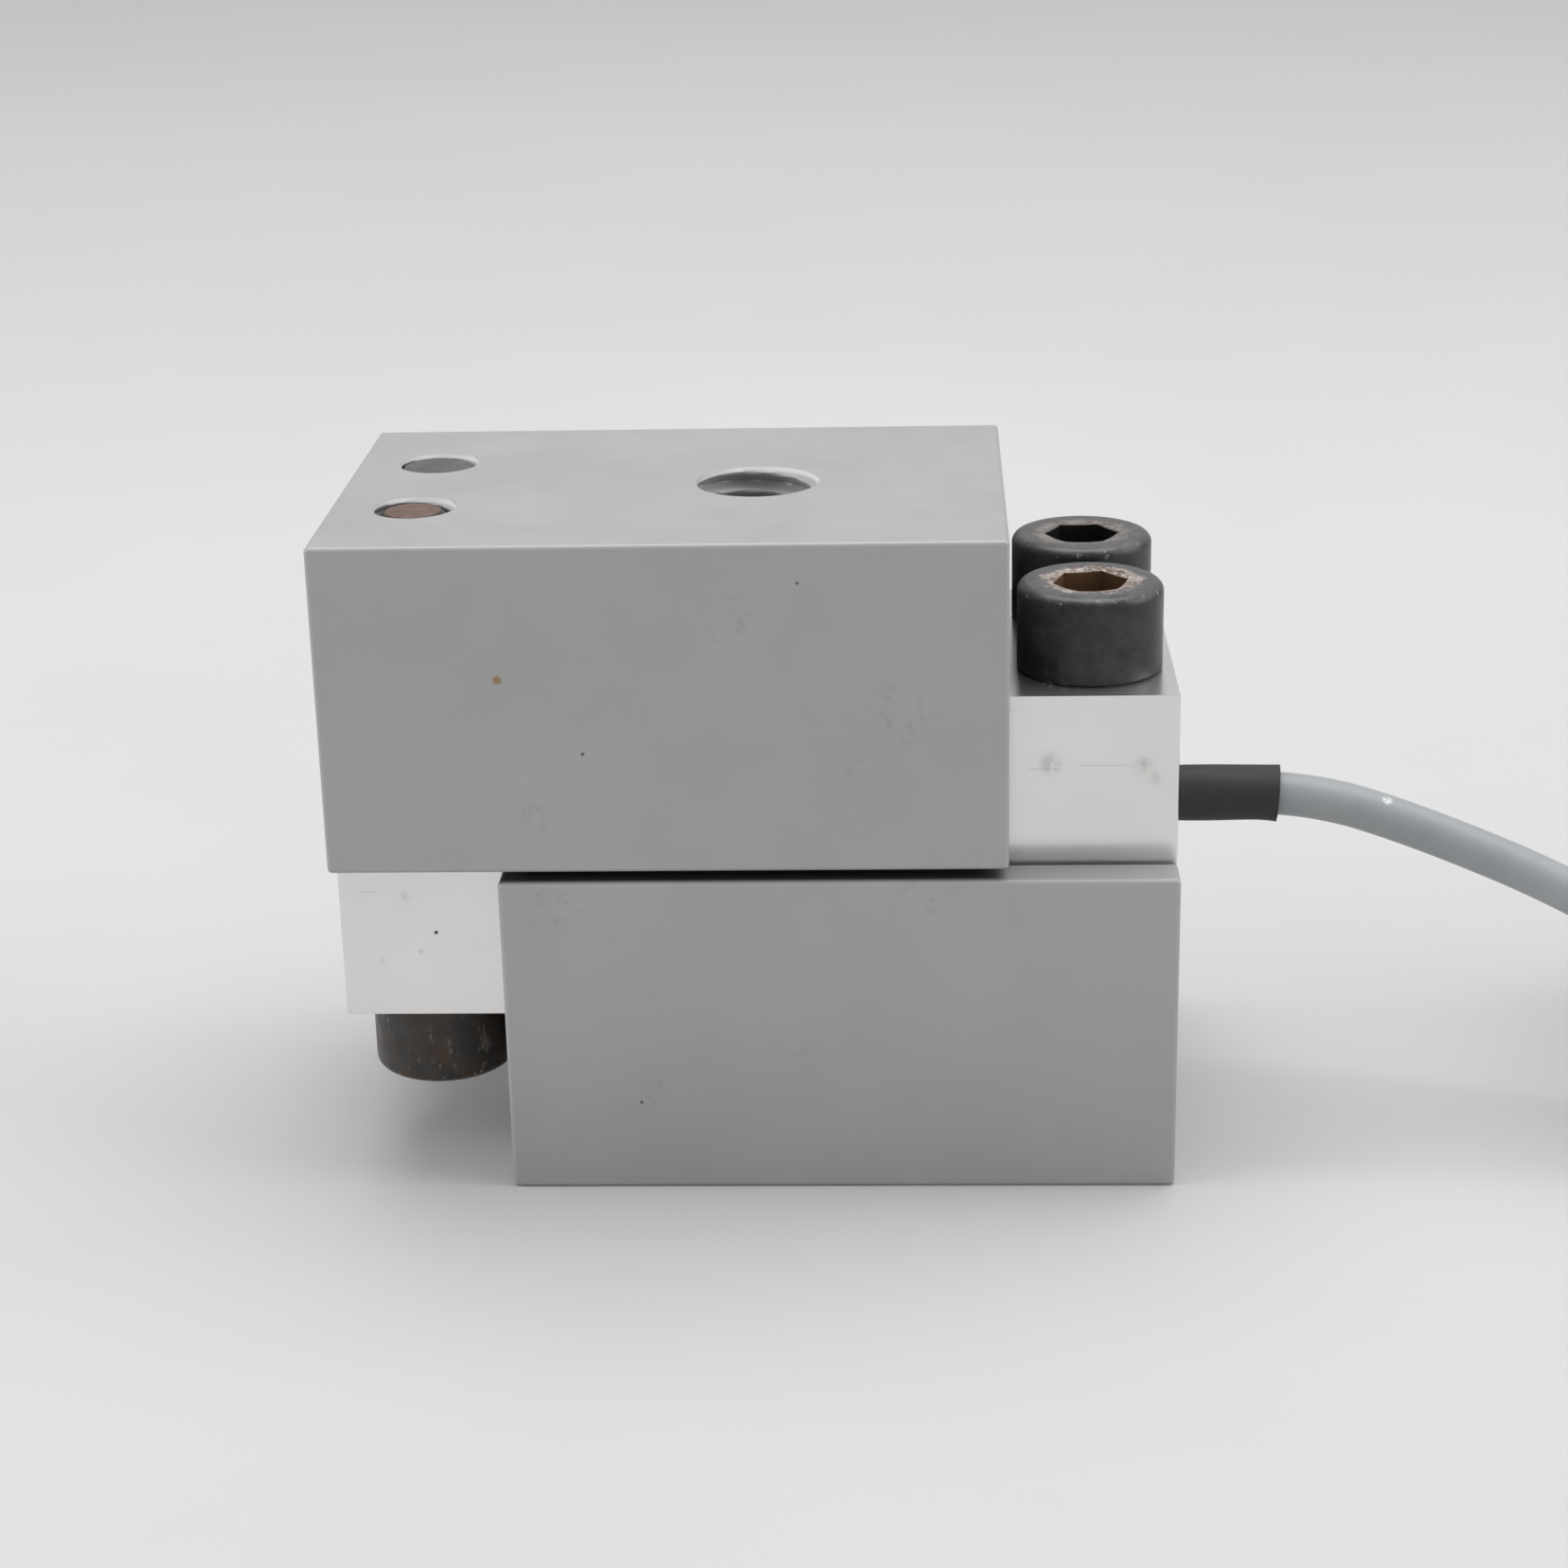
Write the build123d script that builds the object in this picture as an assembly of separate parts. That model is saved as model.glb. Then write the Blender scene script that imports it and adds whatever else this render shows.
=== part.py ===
from build123d import *
import math
import os

# Load-cell module: a double-bending-beam force transducer clamped between two channel blocks.
# Millimetres. X runs along the beam, Y across it, Z up. The origin is under the middle of the
# lower block, on the surface that the module stands on.

# ---- driving dimensions -------------------------------------------------------------------
BEAM_LENGTH, BEAM_WIDTH, BEAM_HEIGHT = 75.0, 33.0, 30.0
BLOCK_LENGTH, BLOCK_WIDTH, BASE_HEIGHT = 60.0, 42.0, 15.25
STOP_GAP = 1.0              # between the facing walls of the two blocks, the overload stop
SIDE_CLEARANCE = 0.5        # between the beam and each channel wall
RELIEF = 2.0                # depth of the channel floor below its clamping pad
PAD_LENGTH = 16.5           # length of the clamping pad along the beam
EDGE_BREAK = 0.5            # chamfer on the blocks' outer edges
BEAM_BREAK = 0.3            # chamfer on the beam's edges

SCREW_SIZE, TAP_DRILL, CLEARANCE_HOLE = 8.0, 6.8, 9.0      # M8
SCREW_LENGTH, SHANK_LENGTH = 45.0, 23.0
HEAD_DIAMETER, HEAD_HEIGHT, HEAD_EDGE = 13.0, 8.0, 0.6
HEX_ACROSS_FLATS, HEX_DEPTH = 6.0, 4.0
SOCKET_MOUTH, SOCKET_MOUTH_DEPTH, THREAD_END_CHAMFER = 7.6, 0.4, 0.9
HEX_TURNS = {                                              # degrees, as the screws were left
    "fixed_screw_front": 10.0,
    "fixed_screw_rear": 2.0,
    "live_screw_front": 11.0,
    "live_screw_rear": 40.0,
}
SCREW_X, SCREW_Y = 30.0, 8.0                               # half the screws' spacings

LOAD_TAP_DRILL, LOAD_MOUTH, LOAD_MOUTH_DEPTH = 10.2, 11.4, 0.6     # M12
SCREW_HOLE_MOUTH, SCREW_HOLE_MOUTH_DEPTH = 7.6, 0.4

WINDOW_RADIUS, WINDOW_X, WINDOW_SLOT = 10.5, 10.0, 12.0    # cut-out that leaves the thin webs
WIRE_PASSAGE = 2.5

CABLE_DIAMETER, SLEEVE_DIAMETER = 4.0, 5.2
CABLE_BORE_DEPTH = 10.0     # wide part of the bore, which holds the sleeve
SLEEVE_OUTSIDE = 10.6       # length of sleeve that shows beyond the beam
CLAMP_SCREW_SIZE, CLAMP_SCREW_LENGTH, CLAMP_SCREW_HEX = 4.0, 9.0, 2.0

GAUGE_X, GAUGE_LENGTH, GAUGE_WIDTH, GAUGE_THICK = 10.0, 8.0, 6.0, 0.12
COATING_LENGTH, COATING_WIDTH, COATING_THICK, COATING_CORNER = 34.0, 20.0, 1.0, 4.0
WIRE_RADIUS, WIRE_X, WIRE_Y, WIRE_LIFT = 0.25, 0.55, 0.6, 0.5
BOARD_LENGTH, BOARD_WIDTH, BOARD_THICK = 13.0, 16.0, 1.0
RESISTOR_LENGTH, RESISTOR_WIDTH, RESISTOR_HEIGHT, RESISTOR_EDGE = 3.2, 1.2, 0.6, 0.1
RESISTOR_PLACES = (-6.0, -3.5, 4.5)        # across the board
INNER_CORE_SPREAD, INNER_CORE_ENDS = 0.75, (3.4, 5.2)      # where the lower and upper cores turn down
SEAL_LENGTH = 4.0

COIL_X, COIL_RADIUS = 113.0, 23.0          # centre of the coil and mean radius of its turns
BUNDLE_WIDTH = 3 * CABLE_DIAMETER          # seven strands, six round one
BUNDLE_HEIGHT = (1 + math.sqrt(3)) * CABLE_DIAMETER
BUNDLE_ROUNDING = 3.0
TIE_WIDTH, TIE_THICK, TIE_HEAD, TIE_HEAD_EDGE = 3.6, 0.9, (3.4, 5.2, 4.6), 0.4
TIE_TAIL_WIDTH, TIE_TAIL_LENGTH = 3.2, 5.0                 # the cut end, half of it past the head
TIE_ANGLES = (39.0, 141.0)
CORE_DIAMETER = 1.1
END_SLEEVE_LENGTH = 6.0
CORE_START_RADIUS, CORE_RISE = 1.2, 0.5    # of the cores round the cable, and of their low arch
CORE_MIDDLE, CORE_END = 13.0, 21.0         # from the jacket's end, along the cable
CORE_TIP_DIAMETER, CORE_TIP_LENGTH = 0.7, 5.0
# Each core's angle round the cable where it leaves it, and how far it fans out to the side.
CORES = {
    "lead_core_red": (18, 7.5),
    "lead_core_green": (-54, 3.6),
    "lead_core_white": (90, 0.2),
    "lead_core_black": (162, -7.2),
}
SHIELD = (-126, -3.4)

# ---- worked out from them -----------------------------------------------------------------
TOTAL_HEIGHT = 2 * BASE_HEIGHT + BEAM_HEIGHT
BLOCK_HEIGHT = (TOTAL_HEIGHT - STOP_GAP) / 2
HALF_BEAM = BEAM_LENGTH / 2
HALF_WIDTH = BLOCK_WIDTH / 2
CHANNEL_WIDTH = BEAM_WIDTH + 2 * SIDE_CLEARANCE
BEAM_BOTTOM, BEAM_TOP = BASE_HEIGHT, BASE_HEIGHT + BEAM_HEIGHT
AXIS_Z = TOTAL_HEIGHT / 2
BOARD_TOP = AXIS_Z - WINDOW_SLOT / 2 + BOARD_THICK
CABLE_START_X = HALF_BEAM - CABLE_BORE_DEPTH

# Points of the free cable's route before the coil: out of the beam, drooping, then over on to
# the top outer place of the bundle.
LEAD_IN = [
    (CABLE_START_X, 0, AXIS_Z),
    (39.5, 0, 30.35),
    (51.0, -0.2, 30.7),
    (61.0, -2.0, 27.6),
    (75.0, -6.3, 22.6),
    (87.0, -12.3, 16.2),
    (97.5, -19.0, 12.2),
    (107.0, -23.9, 10.4),
]
# Points of its route after the coil, to the end of the jacket.
TAIL = [
    (116.0, -26.9, 6.0),
    (125.0, -26.4, 3.9),
    (133.5, -23.6, 2.1),
    (141.0, -18.0, 2.0),
    (147.0, -12.0, 2.0),
]


def box_between(low, high):
    """A box from its low corner to its high corner."""
    size = [b - a for a, b in zip(low, high)]
    middle = [(a + b) / 2 for a, b in zip(low, high)]
    return Pos(*middle) * Box(*size)


def upright(radius, low, high, x=0.0, y=0.0):
    """A cylinder along Z between two heights."""
    return Pos(x, y, (low + high) / 2) * Cylinder(radius, high - low)


def mouth(diameter, drill, depth, x, y):
    """The chamfered mouth of a tapped hole that opens in the plane z = 0."""
    cone = Cone(diameter / 2, drill / 2, depth, align=(Align.CENTER, Align.CENTER, Align.MIN))
    return Pos(x, y, 0) * cone


def turned_over(shape):
    """The upper block is the lower block turned half a turn about the axis along Y."""
    return Pos(0, 0, TOTAL_HEIGHT) * Rot(0, 180, 0) * shape


# ---- the two blocks -----------------------------------------------------------------------
def lower_block():
    """A channel with a clamping pad at its outer end and a relieved floor under the webs."""
    x0, x1 = HALF_BEAM - BLOCK_LENGTH, HALF_BEAM
    body = box_between((x0, -HALF_WIDTH, 0), (x1, HALF_WIDTH, BLOCK_HEIGHT))
    body = chamfer(body.edges(), EDGE_BREAK)
    past = 1.0
    channel = CHANNEL_WIDTH / 2
    body -= box_between((x0 - past, -channel, BASE_HEIGHT), (x1 + past, channel, TOTAL_HEIGHT))
    pad_start = x1 - PAD_LENGTH
    floor = BASE_HEIGHT - RELIEF
    body -= box_between((x0 - past, -channel, floor), (pad_start, channel, TOTAL_HEIGHT))
    for y in (-SCREW_Y, SCREW_Y):
        body -= upright(TAP_DRILL / 2, -past, TOTAL_HEIGHT, SCREW_X, y)
        body -= mouth(SCREW_HOLE_MOUTH, TAP_DRILL, SCREW_HOLE_MOUTH_DEPTH, SCREW_X, y)
    body -= upright(LOAD_TAP_DRILL / 2, -past, TOTAL_HEIGHT)
    body -= mouth(LOAD_MOUTH, LOAD_TAP_DRILL, LOAD_MOUTH_DEPTH, 0, 0)
    return body


# ---- the load cell ------------------------------------------------------------------------
def load_cell_beam():
    """The sensing beam: a solid bar with a cut-out of two round ends joined by a slot."""
    beam = box_between(
        (-HALF_BEAM, -BEAM_WIDTH / 2, BEAM_BOTTOM), (HALF_BEAM, BEAM_WIDTH / 2, BEAM_TOP)
    )
    beam = chamfer(beam.edges(), BEAM_BREAK)
    for x in (-WINDOW_X, WINDOW_X):
        beam -= Pos(x, 0, AXIS_Z) * Rot(90, 0, 0) * Cylinder(WINDOW_RADIUS, BLOCK_WIDTH)
    beam -= Pos(0, 0, AXIS_Z) * Box(2 * WINDOW_X, BLOCK_WIDTH, WINDOW_SLOT)
    for x in (-SCREW_X, SCREW_X):
        for y in (-SCREW_Y, SCREW_Y):
            beam -= upright(CLEARANCE_HOLE / 2, 0, TOTAL_HEIGHT, x, y)
    beam -= upright(WIRE_PASSAGE / 2, 0, TOTAL_HEIGHT)
    beam -= along_x(SLEEVE_DIAMETER / 2, CABLE_START_X, HALF_BEAM + 1)
    beam -= along_x(CABLE_DIAMETER / 2, WINDOW_X, CABLE_START_X)
    clamp_x = HALF_BEAM - CABLE_BORE_DEPTH / 2
    beam -= upright(CLAMP_SCREW_SIZE / 2, 0, AXIS_Z, clamp_x)
    return beam


def along_x(radius, x0, x1, y=0.0, z=AXIS_Z):
    """A cylinder along X between two places."""
    return Pos((x0 + x1) / 2, y, z) * Rot(0, 90, 0) * Cylinder(radius, x1 - x0)


def cable_clamp_screw():
    """The grub screw under the cable bore, which grips the sleeve inside the beam."""
    top = AXIS_Z - SLEEVE_DIAMETER / 2
    x = HALF_BEAM - CABLE_BORE_DEPTH / 2
    screw = upright(CLAMP_SCREW_SIZE / 2, top - CLAMP_SCREW_LENGTH, top, x)
    screw = chamfer(screw.edges(), BEAM_BREAK)
    hexagon = RegularPolygon(CLAMP_SCREW_HEX / 2, 6, major_radius=False)
    screw -= Pos(x, 0, top - CLAMP_SCREW_LENGTH) * extrude(hexagon, CLAMP_SCREW_HEX)
    return screw


# ---- socket screws ------------------------------------------------------------------------
def socket_screw(hex_turn):
    """An M8 socket-head cap screw, head up, its seat at z = 0 and its shank below."""
    head = upright(HEAD_DIAMETER / 2, 0, HEAD_HEIGHT)
    head = fillet(head.edges().sort_by(Axis.Z)[-1], HEAD_EDGE)
    shank = upright(SCREW_SIZE / 2, -SCREW_LENGTH, 0)
    shank = chamfer(shank.edges().sort_by(Axis.Z)[0], THREAD_END_CHAMFER)
    hexagon = Rot(0, 0, hex_turn) * RegularPolygon(HEX_ACROSS_FLATS / 2, 6, major_radius=False)
    screw = head + shank
    screw -= Pos(0, 0, HEAD_HEIGHT - HEX_DEPTH) * extrude(hexagon, HEX_DEPTH + 1)
    inner, outer = HEX_ACROSS_FLATS / 2, SOCKET_MOUTH / 2
    lead = Cone(inner, outer, SOCKET_MOUTH_DEPTH, align=(Align.CENTER, Align.CENTER, Align.MAX))
    return screw - Pos(0, 0, HEAD_HEIGHT) * lead


def block_screw(name, hex_turn):
    """Fixed: down through the beam's right end. Live: up through its left end."""
    y = -SCREW_Y if name.endswith("front") else SCREW_Y
    if name.startswith("fixed"):
        return Pos(SCREW_X, y, BEAM_TOP) * socket_screw(hex_turn)
    return Pos(-SCREW_X, y, BEAM_BOTTOM) * Rot(0, 180, 0) * socket_screw(hex_turn)


# ---- strain gauges and wiring -------------------------------------------------------------
def on_top(shape, top):
    """A piece made for the beam's top face, or turned over on to its bottom face."""
    return shape if top else turned_over(shape)


def strain_gauge(x, top):
    """A foil gauge bonded over a thin web."""
    low = (x - GAUGE_LENGTH / 2, -GAUGE_WIDTH / 2, BEAM_TOP)
    high = (x + GAUGE_LENGTH / 2, GAUGE_WIDTH / 2, BEAM_TOP + GAUGE_THICK)
    return on_top(box_between(low, high), top)


def gauge_coating(top):
    """The soft sealing layer over two gauges and their wires."""
    low = (-COATING_LENGTH / 2, -COATING_WIDTH / 2, BEAM_TOP)
    high = (COATING_LENGTH / 2, COATING_WIDTH / 2, BEAM_TOP + COATING_THICK)
    layer = box_between(low, high)
    layer = fillet(layer.edges().filter_by(Axis.Z), COATING_CORNER)
    for x in (-GAUGE_X, GAUGE_X):
        layer -= strain_gauge(x, True)
    layer = on_top(layer, top)
    for wire in bridge_wire_solids(top):
        layer -= wire
    return layer


def bridge_wire_solids(top):
    """Four fine wires from the two gauges, down the passage to the terminal board."""
    end = BOARD_TOP if top else TOTAL_HEIGHT - BOARD_TOP + BOARD_THICK
    z = BEAM_TOP + WIRE_LIFT
    wires = []
    for y in (-WIRE_Y, WIRE_Y):
        for x in (-WIRE_X, WIRE_X):
            gauge_end = math.copysign(GAUGE_X - GAUGE_LENGTH / 2, x)
            run = along_x(WIRE_RADIUS, min(x, gauge_end), max(x, gauge_end), y, z)
            drop = upright(WIRE_RADIUS, end, z, x, y)
            wires.append(on_top(run + drop + Pos(x, y, z) * Sphere(WIRE_RADIUS), top))
    return wires


def bridge_wires(top):
    """The wires on one side of the beam as one node."""
    return Compound(children=bridge_wire_solids(top))


def terminal_board():
    """The small board inside the cut-out where the gauges meet the cable."""
    board = box_between(
        (-BOARD_LENGTH / 2, -BOARD_WIDTH / 2, BOARD_TOP - BOARD_THICK),
        (BOARD_LENGTH / 2, BOARD_WIDTH / 2, BOARD_TOP),
    )
    for wire in bridge_wire_solids(False):
        board -= wire
    return board


def trim_resistors():
    """Three small resistors that trim zero and temperature drift."""
    half = RESISTOR_WIDTH / 2
    bodies = []
    for y in RESISTOR_PLACES:
        low = (-RESISTOR_LENGTH, y - half, BOARD_TOP)
        body = box_between(low, (0, y + half, BOARD_TOP + RESISTOR_HEIGHT))
        bodies.append(chamfer(body.edges().filter_by(Axis.X), RESISTOR_EDGE))
    return Compound(children=bodies)


def inner_cores():
    """The four cable cores inside the beam, from the jacket's end to the board."""
    radius = CORE_DIAMETER / 2
    spread = INNER_CORE_SPREAD
    cores = []
    for y in (-spread, spread):
        for z, x in zip((AXIS_Z - spread, AXIS_Z + spread), INNER_CORE_ENDS):
            run = along_x(radius, x, CABLE_START_X, y, z)
            drop = upright(radius, BOARD_TOP, z, x, y)
            cores.append(run + drop + Pos(x, y, z) * Sphere(radius))
    return Compound(children=cores)


def bore_seal():
    """The plug of sealant round the cores where the bore enters the cut-out."""
    plug = along_x(CABLE_DIAMETER / 2, CABLE_START_X - SEAL_LENGTH, CABLE_START_X)
    for core in inner_cores().solids():
        plug -= core
    return plug


# ---- the cable ----------------------------------------------------------------------------
def bend_radii(points):
    """The largest radius at each corner that the shorter of its two runs allows."""
    radii = []
    for a, b, c in zip(points, points[1:], points[2:]):
        before = Vector(*b) - Vector(*a)
        after = Vector(*c) - Vector(*b)
        half_turn = math.radians(before.get_angle(after)) / 2
        radii.append(0.45 * min(before.length, after.length) / math.tan(half_turn))
    return radii


def tube(points, radius, name):
    """A round tube along straight runs joined by tangent arcs."""
    radii = bend_radii(points)
    path = FilletPolyline(*points, radius=radii)
    section = Plane(origin=points[0], z_dir=Vector(*points[1]) - Vector(*points[0])) * Circle(radius)
    solid = sweep(section, path=path)
    expected = math.pi * radius**2 * path.length
    print(f"{name}: length {path.length:.1f}, radii {[round(r, 1) for r in radii]}")
    print(f"{name}: volume {solid.volume:.1f}, section times length {expected:.1f}")
    return solid


def cable():
    """The free lengths before and after the coil, as two solids."""
    lead_in = tube(LEAD_IN, CABLE_DIAMETER / 2, "cable lead-in")
    tail = tube(TAIL, CABLE_DIAMETER / 2, "cable tail")
    return Compound(children=[lead_in, tail])


def cable_sleeve():
    """Heat-shrink sleeve round the cable where it leaves the beam."""
    first, second, third = LEAD_IN[:3]
    run = Vector(*third) - Vector(*second)
    end = Vector(*second) + run.normalized() * (SLEEVE_OUTSIDE - (second[0] - HALF_BEAM))
    points = [first, second, tuple(end)]
    outer = tube(points, SLEEVE_DIAMETER / 2, "cable sleeve")
    return outer - cable().solids()[0]


def bundle_middle_z():
    """Height of the bundle's middle, which lies on the bands of its ties."""
    return TIE_THICK + BUNDLE_HEIGHT / 2


def ring_part(section, start, turn):
    """Part of a ring about the coil's axis, swept by a section centred on the bundle."""
    flat = Plane.XZ * Pos(COIL_RADIUS, bundle_middle_z()) * section
    return Pos(COIL_X, 0, 0) * Rot(0, 0, start) * revolve(flat, Axis.Z, revolution_arc=turn)


def bundle_section(margin=0.0):
    """The bundle's outline, or one that stands off from it by a margin."""
    width, height = BUNDLE_WIDTH + 2 * margin, BUNDLE_HEIGHT + 2 * margin
    return RectangleRounded(width, height, BUNDLE_ROUNDING + margin)


def cable_coil():
    """The outer shape of the coil's turns, laid six round one: a ring with a rounded section."""
    return ring_part(bundle_section(), 0, 360)


def coil_tie(angle):
    """A cable tie: its band round the bundle, its head and the cut end of its tail."""
    turn = math.degrees(TIE_WIDTH / COIL_RADIUS)
    band = ring_part(bundle_section(TIE_THICK) - bundle_section(), angle - turn / 2, turn)
    outside = COIL_RADIUS + BUNDLE_WIDTH / 2 + TIE_THICK / 2
    middle = outside + TIE_HEAD[0] / 2
    head = Pos(middle, 0, 0) * chamfer(Box(*TIE_HEAD).edges(), TIE_HEAD_EDGE)
    tail = Pos(middle, 0, TIE_HEAD[2] / 2) * Box(TIE_THICK, TIE_TAIL_WIDTH, TIE_TAIL_LENGTH)
    place = Pos(COIL_X, 0, bundle_middle_z()) * Rot(0, 0, angle)
    return band + place * (head + tail)


# ---- the free end of the cable ------------------------------------------------------------
def end_frame():
    """Where the jacket ends: X along the cable."""
    last, before = Vector(*TAIL[-1]), Vector(*TAIL[-2])
    return Plane(origin=last, x_dir=last - before, z_dir=(0, 0, 1)).location


def end_sleeve():
    """A short shrink sleeve over the end of the jacket."""
    return end_frame() * along_x(CABLE_DIAMETER / 2, 0, END_SLEEVE_LENGTH, z=0)


def core_route(place):
    """The route of a core or of the shield: out of the end sleeve, fanning out over the floor."""
    angle, spread = place
    start_y = CORE_START_RADIUS * math.cos(math.radians(angle))
    start_z = CORE_START_RADIUS * math.sin(math.radians(angle))
    lying = CORE_DIAMETER / 2 - CABLE_DIAMETER / 2
    points = [
        (END_SLEEVE_LENGTH, start_y, start_z),
        (CORE_MIDDLE, (start_y + spread) / 2, lying + CORE_RISE),
        (CORE_END, spread, lying),
    ]
    return Spline(*points, tangents=[(1, 0, 0), (CORE_END - CORE_MIDDLE, spread / 2, 0)])


def lead_core(place):
    """One insulated core of the flying lead."""
    path = core_route(place)
    section = Plane(origin=path @ 0, z_dir=path % 0) * Circle(CORE_DIAMETER / 2)
    return end_frame() * sweep(section, path=path)


def core_tip(place):
    """The bare tinned end of a core."""
    path = core_route(place)
    tip = extrude(Circle(CORE_TIP_DIAMETER / 2), CORE_TIP_LENGTH)
    tip = Plane(origin=path @ 1, z_dir=path % 1) * tip
    return end_frame() * tip


def core_tips():
    """The four bare tips as one node."""
    return Compound(children=[core_tip(place) for place in CORES.values()])


# ---- everything ---------------------------------------------------------------------------
def nodes():
    """Every node of the module, by name."""
    made = {
        "lower_block": lower_block(),
        "upper_block": turned_over(lower_block()),
        "load_cell_beam": load_cell_beam(),
        "cable_clamp_screw": cable_clamp_screw(),
        "gauge_coating_top": gauge_coating(True),
        "gauge_coating_bottom": gauge_coating(False),
        "bridge_wires_top": bridge_wires(True),
        "bridge_wires_bottom": bridge_wires(False),
        "terminal_board": terminal_board(),
        "trim_resistors": trim_resistors(),
        "inner_cores": inner_cores(),
        "bore_seal": bore_seal(),
        "cable_sleeve": cable_sleeve(),
        "cable": cable(),
        "cable_coil": cable_coil(),
        "end_sleeve": end_sleeve(),
        "core_tips": core_tips(),
        "shield_pigtail": lead_core(SHIELD),
    }
    for top, level in ((True, "top"), (False, "bottom")):
        for x, side in ((-GAUGE_X, "left"), (GAUGE_X, "right")):
            made[f"strain_gauge_{level}_{side}"] = strain_gauge(x, top)
    for angle, side in zip(TIE_ANGLES, ("right", "left")):
        made[f"coil_tie_{side}"] = coil_tie(angle)
    for name, place in CORES.items():
        made[name] = lead_core(place)
    for name, hex_turn in HEX_TURNS.items():
        made[name] = block_screw(name, hex_turn)
    return made


os.makedirs("parts", exist_ok=True)
for name, shape in nodes().items():
    export_step(shape, f"parts/{name}.step")
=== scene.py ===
import math

import bmesh
import bpy
from mathutils import Matrix, Vector


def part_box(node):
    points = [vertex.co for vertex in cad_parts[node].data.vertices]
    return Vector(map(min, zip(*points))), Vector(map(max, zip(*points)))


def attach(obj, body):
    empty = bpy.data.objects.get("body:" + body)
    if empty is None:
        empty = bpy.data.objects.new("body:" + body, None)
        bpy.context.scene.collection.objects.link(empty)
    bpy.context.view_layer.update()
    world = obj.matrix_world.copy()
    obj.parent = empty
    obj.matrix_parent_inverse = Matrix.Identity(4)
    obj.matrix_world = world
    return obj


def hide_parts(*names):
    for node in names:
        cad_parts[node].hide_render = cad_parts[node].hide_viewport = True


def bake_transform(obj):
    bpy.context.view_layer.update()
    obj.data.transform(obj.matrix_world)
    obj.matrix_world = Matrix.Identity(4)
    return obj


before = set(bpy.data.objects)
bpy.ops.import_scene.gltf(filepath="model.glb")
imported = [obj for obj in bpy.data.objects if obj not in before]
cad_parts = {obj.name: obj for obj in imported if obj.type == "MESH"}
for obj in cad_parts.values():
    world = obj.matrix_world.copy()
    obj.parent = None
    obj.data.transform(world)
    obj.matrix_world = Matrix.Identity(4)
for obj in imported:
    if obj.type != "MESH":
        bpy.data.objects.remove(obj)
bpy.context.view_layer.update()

# A load-cell module on a pale floor. Metres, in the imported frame: X along the beam, Z up.

MM = 0.001
FIXED, LIVE = "fixed_side", "live_side"

# ---- sizes that the frame's boxes don't give ----
BASE_HEIGHT = 15.25 * MM        # block base, up to the beam's seat
CHANNEL_HALF = 17.0 * MM        # half the channel's width
RELIEF = 2.0 * MM
PAD_LENGTH = 16.5 * MM
PAST = 2 * MM                   # how far cutters reach past a face
EDGE_BREAK, BEAM_EDGE = 0.42 * MM, 0.15 * MM
# threads: radii at the groove's bottom, at the crest and at the hole's mouth; start angle in degrees
M8 = {"major": 4.0 * MM, "minor": 3.4 * MM, "pitch": 1.25 * MM, "mouth": 3.6 * MM, "start": 135.0}
M12 = {"major": 6.0 * MM, "minor": 5.1 * MM, "pitch": 1.75 * MM, "mouth": 5.4 * MM, "start": 160.0}
THREAD_FLANKS = 1.15            # above 1 it leaves a narrow flat at the minor radius
THREAD_GAP = 0.03 * MM          # between a screw's thread and its bore's
HEAD_RADIUS, HEAD_HEIGHT, HEAD_EDGE, SEAT_EDGE = 6.5 * MM, 8.0 * MM, 0.9 * MM, 0.25 * MM
BORE_ROWS, SHANK_ROWS = 12, 10  # rings of points to each turn of a thread
AXIS_POINT = 0.05 * MM          # the radius that closes a turned shape at its axis
HEX_FLATS, HEX_DEPTH = 6.0 * MM, 4.0 * MM
SHANK_LENGTH, SCREW_LENGTH = 23.0 * MM, 45.0 * MM
CLEARANCE_RADIUS = 4.5 * MM
WINDOW_RADIUS, WINDOW_X, WINDOW_SLOT = 10.5 * MM, 10.0 * MM, 12.0 * MM
WIRE_PASSAGE = 1.25 * MM
BORE_DEPTH = 10.0 * MM
CABLE_RADIUS, SLEEVE_RADIUS = 2.0 * MM, 2.6 * MM
SLEEVE_OUTSIDE = 10.6 * MM
SLEEVE_FLARE, FLARE_LENGTH = 0.1 * MM, 0.9 * MM
CORD_STEP, STRAND_STEP = 0.25 * MM, 0.12 * MM       # between the rings of a sleeve, and of a strand
CABLE_GLINT = (57.9 * MM, -2.4 * MM, 30.15 * MM)     # a painted highlight: a small white spot on top of the jacket
TIE_WIDTH, TIE_THICK, TIE_TEETH = 3.6 * MM, 0.9 * MM, 9
TIE_ANGLES = {"coil_tie_right": 39.0, "coil_tie_left": 141.0}
CORE_RADIUS = 0.55 * MM
CORE_SWEEP = 1.2                # how far a core lies off the cable's middle, in millimetres
END_SLEEVE = 6.0                # how far the end sleeve reaches beyond the jacket, in millimetres
END_OVERLAP = 4 * MM            # how much of the jacket the end sleeve covers
TIP_BUNDLE = {"strands": 5, "radius": 0.15 * MM, "offset": 0.19 * MM, "pitch": 5 * MM}
SHIELD_BUNDLE = {"strands": 6, "radius": 0.2 * MM, "offset": 0.34 * MM, "pitch": 6 * MM}
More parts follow.
